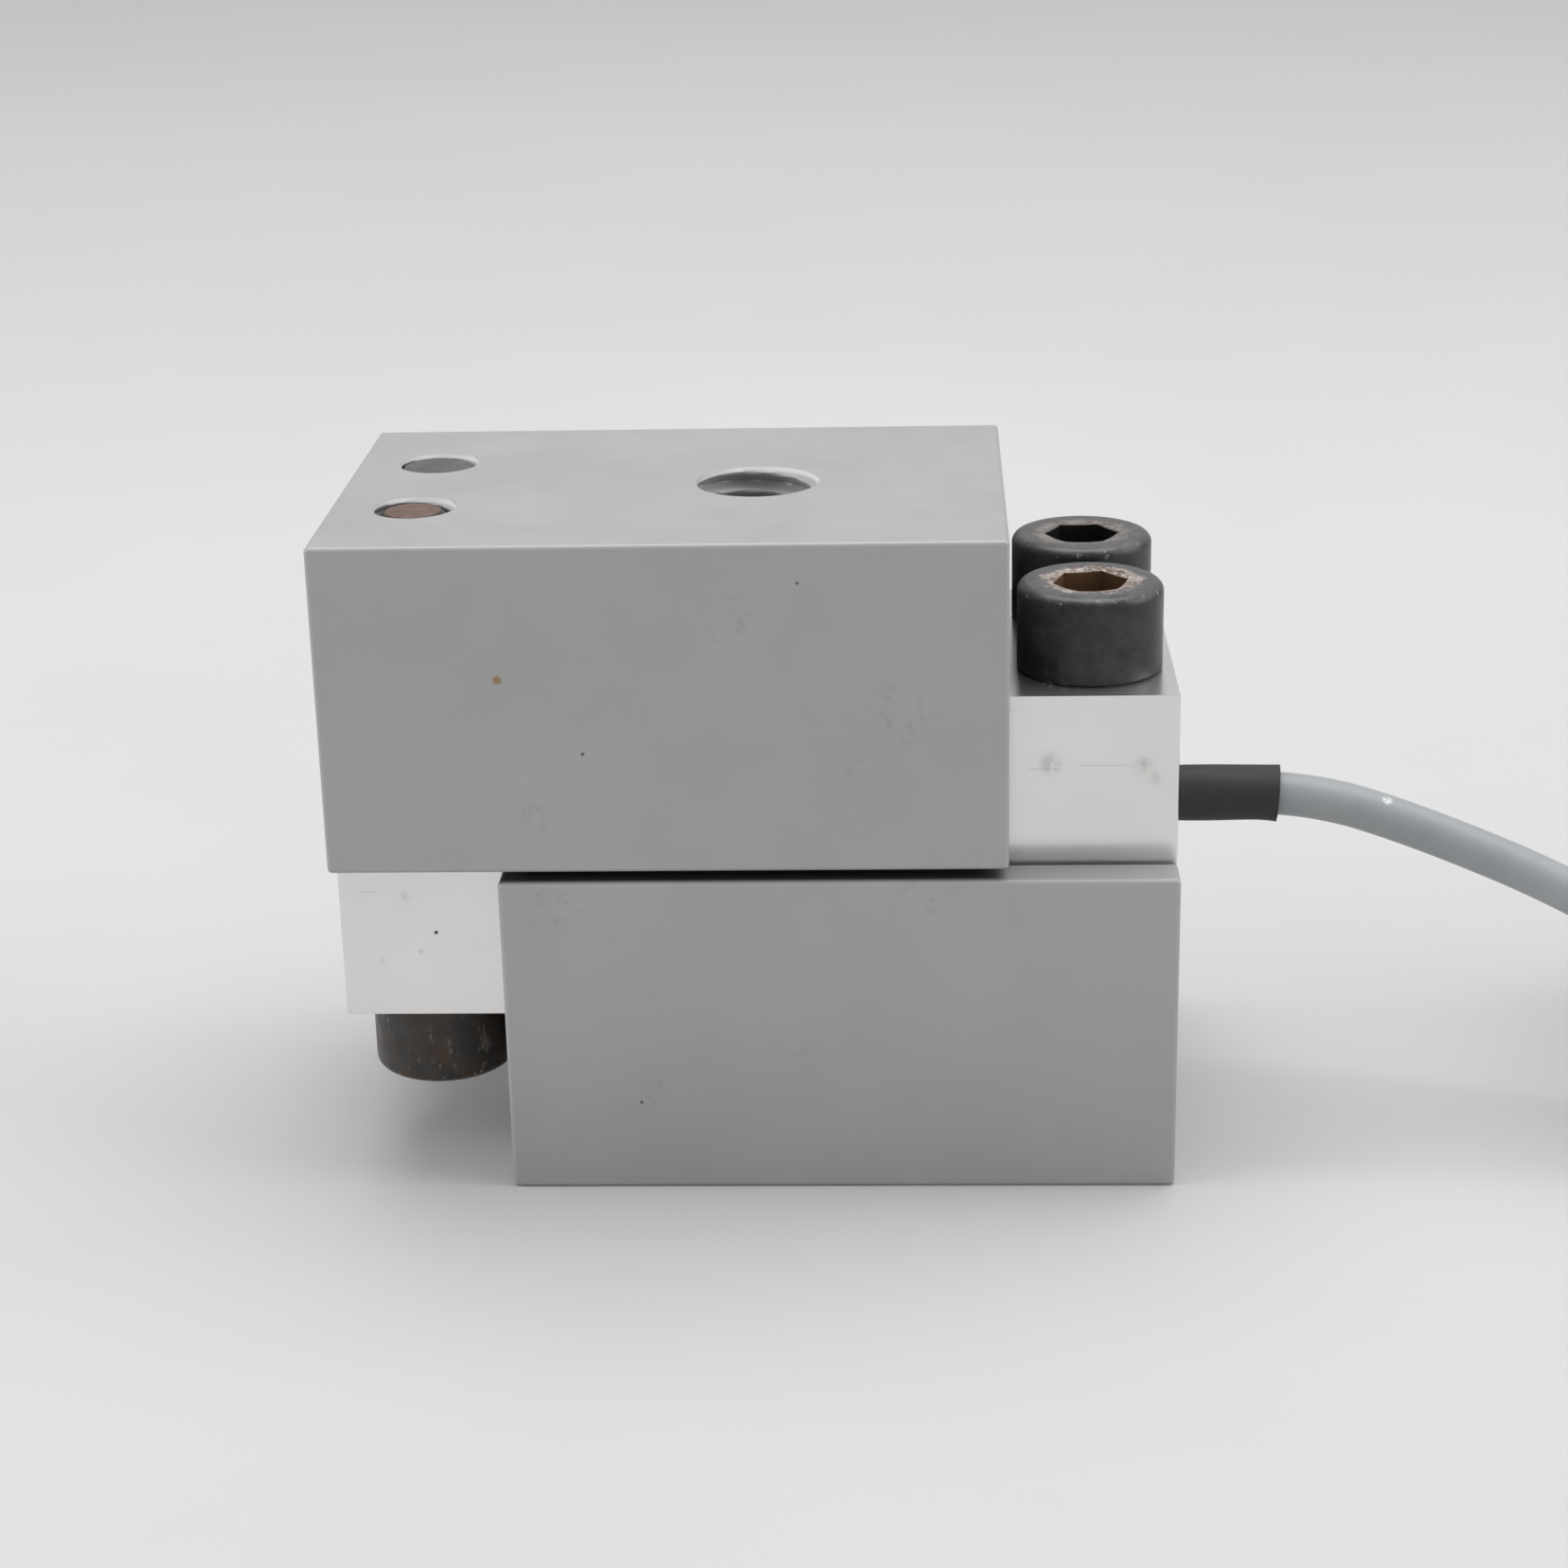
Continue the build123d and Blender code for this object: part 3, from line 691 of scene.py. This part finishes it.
def coil_points():
    """The coil's turns: each place in the bundle is held for a little less than a turn."""
    places = bundle_places()
    held = 360.0 * COIL_TURNS / len(places)
    tighter = (6 + 2 * math.cos(math.tau / POINTS_A_TURN)) / 8      # the curve runs inside its points
    points = []
    for i in range(COIL_TURNS * POINTS_A_TURN + 1):
        turned = 360.0 * i / POINTS_A_TURN
        crossing = round(turned / held)
        share = eased((turned - crossing * held) / (2 * CROSSING_HALF) + 0.5)
        before = places[max(crossing - 1, 0)]
        after = places[min(crossing, len(places) - 1)]
        outward = before[0] + (after[0] - before[0]) * share
        upward = before[1] + (after[1] - before[1]) * share
        angle = math.radians(COIL_START + turned)
        radius = (COIL_RADIUS + outward) / tighter
        points.append(COIL_MIDDLE + Vector((radius * math.cos(angle), radius * math.sin(angle), upward)))
    return points


def nurbs(name, points, radius, material):
    """A round cord on one smooth open curve."""
    data = bpy.data.curves.new(name, "CURVE")
    data.dimensions = "3D"
    data.bevel_depth = radius
    data.bevel_resolution = 8
    data.resolution_u = 10
    data.use_fill_caps = True
    spline = data.splines.new("NURBS")
    spline.points.add(len(points) - 1)
    for point, place in zip(spline.points, points):
        point.co = (*place, 1.0)
    spline.order_u = 3
    spline.use_endpoint_u = True
    data.materials.append(material)
    return linked(name, data)


def line_of(curve):
    """Points along a curve's centreline."""
    plain = curve.data.copy()
    plain.bevel_depth = 0
    holder = linked("line", plain)
    bpy.context.view_layer.update()
    mesh = bpy.data.meshes.new_from_object(holder.evaluated_get(bpy.context.evaluated_depsgraph_get()))
    points = [v.co.copy() for v in mesh.vertices]
    bpy.data.objects.remove(holder)
    return points


def between(points, start, end, step):
    """Points and directions every step along a line, from one length along it to another."""
    found, walked = [], 0.0
    wanted = start
    for a, b in zip(points, points[1:]):
        length = (b - a).length
        while wanted <= end and wanted <= walked + length:
            way = (b - a).normalized()
            found.append((a + way * (wanted - walked), way))
            wanted += step
        walked += length
    return found


def ring_round(place, way, radius_at, segments=48):
    """A ring of points about a line, in the plane across it."""
    side = way.cross(Vector((0, 0, 1))).normalized()
    up = side.cross(way).normalized()
    ring = []
    for i in range(segments):
        angle = math.tau * i / segments
        radius = radius_at(angle)
        ring.append(place + side * (radius * math.cos(angle)) + up * (radius * math.sin(angle)))
    return ring


def sleeve(name, line, start, end, radius, flare, material):
    """A shrunk tube round the cable, a little uneven, with a square-cut end that stands off it."""
    steps = between(line, start, end, CORD_STEP)
    length = end - start
    outside, inside = [], []
    for i, (place, way) in enumerate(steps):
        along = i * CORD_STEP
        lip = flare * math.exp(-(length - along) / FLARE_LENGTH)
        mean = radius + lip + 0.03 * MM * math.sin(along / (1.7 * MM))
        lobes = along / (2.3 * MM)
        outside.append(ring_round(place, way, lambda a: mean + 0.02 * MM * math.sin(3 * a + lobes)))
        inside.append(ring_round(place, way, lambda a: CABLE_RADIUS + 0.02 * MM + 0.6 * lip))
    made = rings_object(name, outside + inside[::-1], material, closed=True)
    return shaded(made, angle=50)


def frame_at_end():
    """Where the jacket ends: X along the cable, Z up."""
    last, before = Vector(TAIL[-1]) * MM, Vector(TAIL[-2]) * MM
    along = (last - before).normalized()
    across = Vector((0, 0, 1)).cross(along)
    turn = Matrix((along, across, Vector((0, 0, 1)))).transposed().to_4x4()
    return Matrix.Translation(last) @ turn


def core_line(place):
    """The points of a core's curve: out of the end sleeve, fanning out to lie on the floor."""
    angle, spread = place
    start_y = CORE_SWEEP * math.cos(math.radians(angle))
    start_z = CORE_SWEEP * math.sin(math.radians(angle))
    lying = (CORE_RADIUS - CABLE_RADIUS) / MM
    points = [
        (END_SLEEVE - 1, start_y, start_z),
        (END_SLEEVE + 2, start_y, start_z),
        (13, (start_y + spread) / 2, (start_z + lying) / 2 + 0.4),
        (17, 0.78 * spread, lying),
        (21, spread, lying),
    ]
    return [frame_at_end() @ (Vector(p) * MM) for p in points]


def joined(name, parts, material):
    """One object from several."""
    mesh = bmesh.new()
    for part in parts:
        mesh.from_mesh(part.data)
        bpy.data.objects.remove(part)
    made = mesh_object(name, [], [], material)
    mesh.to_mesh(made.data)
    mesh.free()
    return made


def twisted(name, line, length, bundle, material):
    """Strands twisted round a line."""
    steps = between(line, 0, length, STRAND_STEP)
    strands = []
    for k in range(bundle["strands"]):
        rings = []
        for i, (place, way) in enumerate(steps):
            angle = math.tau * (k / bundle["strands"] + i * STRAND_STEP / bundle["pitch"])
            side = way.cross(Vector((0, 0, 1))).normalized()
            up = side.cross(way)
            middle = place + bundle["offset"] * (side * math.cos(angle) + up * math.sin(angle))
            rings.append(ring_round(middle, way, lambda a: bundle["radius"], segments=10))
        strands.append(rings_object("strand", rings))
    return shaded(joined(name, strands, material))


def make_core(name, place, material, tip_metal):
    """An insulated core with its bare, twisted and tinned end."""
    core = nurbs(name + "_insulation", core_line(place), CORE_RADIUS, material)
    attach(core, FIXED)
    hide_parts(name)
    end = line_of(core)
    way = (end[-1] - end[-3]).normalized()
    tip_line = [end[-1] - way * 0.5 * MM, end[-1] + way * 5 * MM]
    tip = twisted(name + "_tip", tip_line, 5.4 * MM, TIP_BUNDLE, tip_metal)
    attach(tip, FIXED)
    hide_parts("core_tips")
    return core, tip


def make_end_sleeve(line, shrink):
    """The sleeve that covers the jacket's end and narrows over the cores beyond it."""
    along = frame_at_end().to_3x3() @ Vector((1, 0, 0))
    beyond = line + [line[-1] + along * END_SLEEVE * MM]
    total = sum((b - a).length for a, b in zip(line, line[1:]))
    steps = between(beyond, total - END_OVERLAP, total + END_SLEEVE * MM, CORD_STEP)
    rings = []
    for i, (place, way) in enumerate(steps):
        past = i * CORD_STEP - END_OVERLAP
        radius = CABLE_RADIUS + 0.22 * MM - 0.35 * MM * eased(past / (3 * MM))
        ring = ring_round(place, way, lambda a: radius + 0.03 * MM * math.sin(4 * a))
        rings.append([Vector((p.x, p.y, max(p.z, 0.02 * MM))) for p in ring])
    boot = shaded(rings_object("end_shrink", rings, shrink), angle=50)
    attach(boot, FIXED)
    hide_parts("end_sleeve")
    return boot


def make_shield(tin):
    """The cable's twisted shield, brought out beside the cores."""
    guide = nurbs("shield_guide", core_line(CORES["shield_pigtail"]), 0.0, tin)
    path = line_of(guide)
    bpy.data.objects.remove(guide)
    shield = twisted("shield_strands", path, 15.6 * MM, SHIELD_BUNDLE, tin)
    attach(shield, FIXED)
    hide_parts("shield_pigtail")
    return shield


def make_free_end(line, shrink):
    """The end sleeve, the four cores, their tips and the twisted shield."""
    boot = make_end_sleeve(line, shrink)
    tin = bare_metal("tinned_strands", grey(0.55), grey(0.72), 0.32)
    cores, tips = [], []
    for name, (dark, light) in CORE_TINTS.items():
        core, tip = make_core(name, CORES[name], plastic(name + "_pvc", dark, light), tin)
        cores.append(core)
        tips.append(tip)
    return [boot] + cores + tips + [make_shield(tin)]


def bundle_outline(margin):
    """Points round the seven strands' hull, standing off it, as (outward, upward)."""
    points = []
    radius = CABLE_RADIUS + margin
    for k in range(6):
        centre = math.radians(60 * k)
        outward, upward = 2 * CABLE_RADIUS * math.cos(centre), 2 * CABLE_RADIUS * math.sin(centre)
        for i in range(7):
            angle = centre + math.radians(-30 + 10 * i)
            points.append((outward + radius * math.cos(angle), upward + radius * math.sin(angle)))
    return points


def tie_band():
    """The band of a cable tie, with rounded edges, round the bundle's section."""
    half, soft = TIE_WIDTH / 2, 0.25 * MM
    side, softer = Vector((0, half, 0)), Vector((0, half - soft, 0))
    outlines = [bundle_outline(margin) for margin in (0.03 * MM, TIE_THICK, TIE_THICK / 2)]
    rings = []
    for places in zip(*outlines):
        inner, outer, middle = [Vector((outward, 0, upward)) for outward, upward in places]
        near_out = outer + (middle - outer).normalized() * soft
        rings.append([inner - side, near_out - side, outer - softer,
                      outer + softer, near_out + side, inner + side])
    return rings_object("band", rings, closed=True)


def tie_head(start):
    """A cable tie's ratchet head, with the slot that its tail goes through."""
    head = box_between("head", (start, -2.6 * MM, -2.3 * MM), (start + 3.2 * MM, 2.6 * MM, 2.3 * MM))
    low, high = (start + 0.9 * MM, -1.9 * MM, -3 * MM), (start + 2.4 * MM, 1.9 * MM, 3 * MM)
    cut(head, box_between("slot_cut", low, high))
    return bevelled(head, 0.35 * MM, 3)


def tie_tail(start):
    """The cut end of a cable tie's tail, and its ratchet teeth."""
    low, high = (start + 1.1 * MM, -1.7 * MM, -2.6 * MM), (start + 2.2 * MM, 1.7 * MM, 4.6 * MM)
    parts = [bevelled(box_between("tail", low, high), 0.25 * MM, 2)]
    for i in range(TIE_TEETH):
        z = (-2.2 + 0.75 * i) * MM
        low, high = (start + 0.95 * MM, -1.1 * MM, z), (start + 1.2 * MM, 1.1 * MM, z + 0.4 * MM)
        parts.append(box_between("tooth", low, high))
    return parts


def make_tie(node, angle, material):
    """A cable tie round the coil at an angle."""
    start = 3 * CABLE_RADIUS + TIE_THICK * 0.6
    parts = [tie_band(), tie_head(start)] + tie_tail(start)
    tie = shaded(joined(node + "_strap", parts, material), angle=30)
    ring = Matrix.Rotation(math.radians(angle), 4, "Z") @ Matrix.Translation((COIL_RADIUS, 0, 0))
    tie.data.transform(Matrix.Translation(COIL_MIDDLE) @ ring)
    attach(tie, FIXED)
    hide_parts(node)
    return tie


def make_cable():
    """The cable, its coil and the sleeve where it leaves the beam."""
    jacket = sheathing("cable_jacket")
    shrink = shrink_sleeve("heat_shrink")
    points = [Vector(p) * MM for p in LEAD_IN] + coil_points() + [Vector(p) * MM for p in TAIL]
    cable = nurbs("instrument_cable", points, CABLE_RADIUS, jacket)
    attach(cable, FIXED)
    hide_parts("cable", "cable_coil")
    line = line_of(cable)
    end = BORE_DEPTH + SLEEVE_OUTSIDE
    boot = sleeve("shrink_sleeve", line, 0.3 * MM, end, SLEEVE_RADIUS, SLEEVE_FLARE, shrink)
    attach(boot, FIXED)
    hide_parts("cable_sleeve")
    return cable, line, boot, shrink


# ---- the blocks ----
def channel_block(name, node, turned, material):
    """One of the two identical blocks: a channel with a clamping pad, tapped from its outer face."""
    block = box_between(name, LOWER_LOW, LOWER_HIGH)
    seat = box_between("seat", (LOWER_LOW.x - PAST, -CHANNEL_HALF, BASE_HEIGHT),
                       (LOWER_HIGH.x + PAST, CHANNEL_HALF, TOTAL_HEIGHT))
    relief = box_between("relief", (LOWER_LOW.x - PAST, -CHANNEL_HALF, BASE_HEIGHT - RELIEF),
                         (LOWER_HIGH.x - PAD_LENGTH, CHANNEL_HALF, TOTAL_HEIGHT))
    cut(block, seat, relief)
    bevelled(block, EDGE_BREAK, 3)
    top = BASE_HEIGHT + PAST
    bores = [tapped_bore("load_bore", M12, 0, 0, -PAST, top, 96)]
    for screw in ("fixed_screw_front", "fixed_screw_rear"):
        middle = middle_of(screw)
        bores.append(tapped_bore("screw_bore", M8, middle.x, middle.y, -PAST, top))
    cut(block, *bores)
    if turned:      # the upper block is the lower one, turned so that its holes meet the live screws
        half_turn = Matrix.Rotation(math.pi, 4, "Y")
        block.data.transform(Matrix.Translation((0, 0, TOTAL_HEIGHT)) @ half_turn)
    true_faces(shaded(block, material))
    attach(block, LIVE if turned else FIXED)
    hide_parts(node)


def middle_of(node):
    """The middle of a CAD node's box."""
    low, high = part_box(node)
    return (Vector(low) + Vector(high)) / 2


def on_front(marks):
    """Marks given as x, z and reach in millimetres, placed on the blocks' front."""
    return [((x * MM, LOWER_LOW.y, z * MM), reach * MM, last) for x, z, reach, last in marks]


def mouths_in(face, screws):
    """A block's tapped holes in its outer face: where they are and how far their chamfers reach."""
    found = [((0, 0, face), M12["major"] + 0.4 * MM)]
    for screw in screws:
        middle = middle_of(screw)
        found.append(((middle.x, middle.y, face), M8["major"] + 0.3 * MM))
    return found


def make_blocks():
    """The two blocks, each with its own marks."""
    top_smudges = [
        ((2.0 * MM, 6.0 * MM, TOTAL_HEIGHT), 9.0 * MM, 0.10),
        ((-20.0 * MM, -4.0 * MM, TOTAL_HEIGHT), 7.0 * MM, 0.08),
    ]
    upper_finish = anodised("anodised_upper", on_front(UPPER_SMUDGES) + top_smudges, on_front(UPPER_SPECKS),
                            mouths_in(TOTAL_HEIGHT, ("live_screw_front", "live_screw_rear")), UPPER_LOW.z)
    lower_finish = anodised("anodised_lower", on_front(LOWER_SMUDGES), on_front(LOWER_SPECKS),
                            mouths_in(0, ("fixed_screw_front", "fixed_screw_rear")), LOWER_HIGH.z, PAINTED_SHADE_HEIGHT)
    channel_block("upper_channel_block", "upper_block", True, upper_finish)
    channel_block("lower_channel_block", "lower_block", False, lower_finish)


# ---- the beam ----
def beam_holes():
    """Cutters for the beam's screw holes, its wire passage and its stepped cable bore."""
    low, high = BEAM_LOW.z - PAST, BEAM_HIGH.z + PAST
    holes = [rod("passage", WIRE_PASSAGE, (0, 0, low), (0, 0, high), 32)]
    for screw in ("fixed_screw_front", "fixed_screw_rear", "live_screw_front", "live_screw_rear"):
        at = middle_of(screw)
        holes.append(rod("hole", CLEARANCE_RADIUS, (at.x, at.y, low), (at.x, at.y, high)))
    end = BEAM_HIGH.x
    step = end - BORE_DEPTH
    holes.append(rod("bore", SLEEVE_RADIUS + 0.05 * MM, (step, 0, AXIS_Z), (end + PAST, 0, AXIS_Z)))
    holes.append(rod("core_bore", CABLE_RADIUS, (WINDOW_X, 0, AXIS_Z), (step + PAST, 0, AXIS_Z)))
    return holes


def make_beam():
    """The load cell: its cut-out, its holes and its cable bore."""
    beam = box_between("sensing_beam", BEAM_LOW, BEAM_HIGH)
    wide = BEAM_HIGH.y + PAST
    window = [
        rod("window", WINDOW_RADIUS, (x, -wide, AXIS_Z), (x, wide, AXIS_Z), 96)
        for x in (-WINDOW_X, WINDOW_X)
    ]
    slot = box_between("slot", (-WINDOW_X, -wide, AXIS_Z - WINDOW_SLOT / 2),
                       (WINDOW_X, wide, AXIS_Z + WINDOW_SLOT / 2))
    cut(beam, *window, slot)
    bevelled(beam, BEAM_EDGE, 2)
    cut(beam, *beam_holes())
    slice_along(beam, BEND_PLACES)
    true_faces(shaded(beam, machined("beam_aluminium")))
    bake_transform(beam)
    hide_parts("load_cell_beam")


def slice_along(made, places):
    """Adds edges across an object at places along X, so that it can bend between them."""
    mesh = bmesh.new()
    mesh.from_mesh(made.data)
    for x in places:
        geometry = mesh.verts[:] + mesh.edges[:] + mesh.faces[:]
        bmesh.ops.bisect_plane(mesh, geom=geometry, plane_co=(x, 0, 0), plane_no=(1, 0, 0), dist=1e-7)
    mesh.to_mesh(made.data)
    mesh.free()


# ---- the screws ----
def rounded_corner(radius, z, edge, steps=6):
    """Profile points of a rounded outer edge that ends on top."""
    points = []
    for i in range(steps + 1):
        t = math.pi / 2 * i / steps
        points.append((radius - edge + edge * math.cos(t), z - edge + edge * math.sin(t)))
    return points


def socket_cutter(hex_turn):
    """The hexagonal socket with its drilled bottom."""
    reach = HEX_FLATS / math.sqrt(3)
    bottom = HEAD_HEIGHT - HEX_DEPTH
    profile = [(AXIS_POINT, bottom - 1.2 * MM), (reach, bottom), (reach, HEAD_HEIGHT + 1 * MM)]
    rings = [ring_of(radius, z, 6, math.radians(hex_turn)) for radius, z in profile]
    return rings_object("socket", rings)


def screw_head(hex_turn):
    """A cap screw's head, with its seat at the origin and its socket up."""
    profile = [(AXIS_POINT, 0), (4.6 * MM, 0), (HEAD_RADIUS - SEAT_EDGE, 0), (HEAD_RADIUS, SEAT_EDGE)]
    profile += rounded_corner(HEAD_RADIUS, HEAD_HEIGHT, HEAD_EDGE)
    profile += [(3.9 * MM, HEAD_HEIGHT), (AXIS_POINT, HEAD_HEIGHT)]
    head = turned_profile("head", profile, 96)
    lead_in = [(2.9 * MM, HEAD_HEIGHT - 0.2 * MM), (4.1 * MM, HEAD_HEIGHT + 0.03 * MM)]
    return cut(head, socket_cutter(hex_turn), turned_profile("lead", lead_in, 96))


def screw_shank(length, end_flat):
    """A cap screw's plain shank and thread, pointing down, with a chamfer to the flat on its end."""
    rings = [ring_of(M8["major"] - 0.02 * MM, z) for z in (0.0, -SHANK_LENGTH)]
    threaded = length - SHANK_LENGTH
    rows = int(threaded / M8["pitch"] * SHANK_ROWS)
    for row in range(1, rows + 1):
        z = -SHANK_LENGTH - threaded * row / rows
        chamfer = end_flat + (z + length)
        ring = []
        for i in range(48):
            angle = math.tau * i / 48
            radius = min(thread_radius(M8, z, angle, THREAD_GAP), chamfer)
            ring.append((radius * math.cos(angle), radius * math.sin(angle), z))
        rings.append(ring)
    return rings_object("shank", rings[::-1])


def socket_screw(name, node, hex_turn, end_flat, material, body):
    """An M8 socket-head cap screw, made head up with its seat at the origin, then stood in place."""
    parts = [screw_head(hex_turn), screw_shank(SCREW_LENGTH, end_flat)]
    head = shaded(joined(name, parts, material), angle=38)
    middle = middle_of(node)
    if body == FIXED:
        head.matrix_world = Matrix.Translation((middle.x, middle.y, BEAM_HIGH.z))
    else:
        seat = Matrix.Translation((middle.x, middle.y, BEAM_LOW.z))
        head.matrix_world = seat @ Matrix.Rotation(math.pi, 4, "Y")
    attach(head, body)
    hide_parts(node)


def make_screws():
    """The four cap screws, each with its own wear."""
    brown, black = (0.15, 0.085, 0.042, 1), (0.012, 0.012, 0.013, 1)
    rusty, steel = (0.157, 0.088, 0.057, 1), (0.100, 0.098, 0.100, 1)
    wide, narrow = 3.3 * MM, 2.55 * MM
    front = black_oxide("screw_front_finish", brown, steel, wide, wear=0.15, ring=0.85, seed=0.0)
    rear = black_oxide("screw_rear_finish", black, steel, wide, wear=0.15, ring=0.35, seed=0.3)
    below_front = black_oxide("screw_below_front_finish", brown, rusty, narrow, wear=1.0, ring=0.8, seed=0.7)
    below_rear = black_oxide("screw_below_rear_finish", black, steel, wide, wear=0.6, ring=0.6, seed=1.1)
    socket_screw("cap_screw_right_front", "fixed_screw_front", 10, 2.6 * MM, front, FIXED)
    socket_screw("cap_screw_right_rear", "fixed_screw_rear", 2, 2.9 * MM, rear, FIXED)
    socket_screw("cap_screw_left_front", "live_screw_front", 11, 2.5 * MM, below_front, LIVE)
    socket_screw("cap_screw_left_rear", "live_screw_rear", 40, 3.15 * MM, below_rear, LIVE)


# ---- the parts inside ----
def bend_with_beam(node, material):
    """A copy of a part that is bonded to the beam, with edges added across it where the beam bends."""
    made = linked("flexing_" + node.name, node.data.copy())
    made.data.materials.clear()
    made.data.materials.append(material)
    slice_along(made, BEND_PLACES)
    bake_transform(made)
    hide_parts(node.name)
    return made


def make_inside():
    """The parts inside the module: those bonded to the beam are copied with edges across them where it bends,
    the rest only get a finish.
    """
    foil = bare_metal("gauge_foil", (0.45, 0.27, 0.13, 1), (0.62, 0.40, 0.2, 1), 0.3, (8, 0.4, 1))
    coating = plastic("silicone_coating", (0.55, 0.56, 0.55, 1), (0.66, 0.66, 0.64, 1), 0.3, 900)
    enamel = plastic("wire_enamel", (0.30, 0.08, 0.02, 1), (0.42, 0.13, 0.04, 1), 0.25)
    laminate = plastic("board_laminate", (0.01, 0.10, 0.035, 1), (0.02, 0.16, 0.05, 1), 0.35, 1800)
    resistor = plastic("resistor_body", (0.012, 0.012, 0.014, 1), (0.03, 0.03, 0.034, 1), 0.4)
    insulation = plastic("core_insulation", (0.5, 0.5, 0.48, 1), (0.6, 0.6, 0.58, 1), 0.4)
    sealant = plastic("sealant", grey(0.10), grey(0.14), 0.35, 1200)
    grub = bare_metal("grub_steel", grey(0.05), grey(0.10, 0.03), 0.42)
    bonded = {
        "strain_gauge": (foil, "gauge_foil"),
        "gauge_coating": (coating, "silicone_coating"),
        "bridge_wires": (enamel, "wire_enamel"),
    }
    finishes = {
        "terminal_board": laminate,
        "trim_resistors": resistor,
        "inner_cores": insulation,
        "bore_seal": sealant,
        "cable_clamp_screw": grub,
    }
    for name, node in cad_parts.items():
        for start, (material, slot_name) in bonded.items():
            if name.startswith(start):
                bend_with_beam(node, material)
        if name in finishes:
            for place in node.material_slots:
                place.material = finishes[name]


# ---- everything, in order ----
make_camera()
cable, cable_line, cable_boot, shrink = make_cable()
make_stage()
make_blocks()
make_beam()
make_screws()
pieces_on_cable = [cable_boot] + make_free_end(cable_line, shrink)
nylon = plastic("tie_nylon", grey(0.018), grey(0.030), 0.42, 3000)
for node, angle in TIE_ANGLES.items():
    pieces_on_cable.append(make_tie(node, angle, nylon))
make_inside()
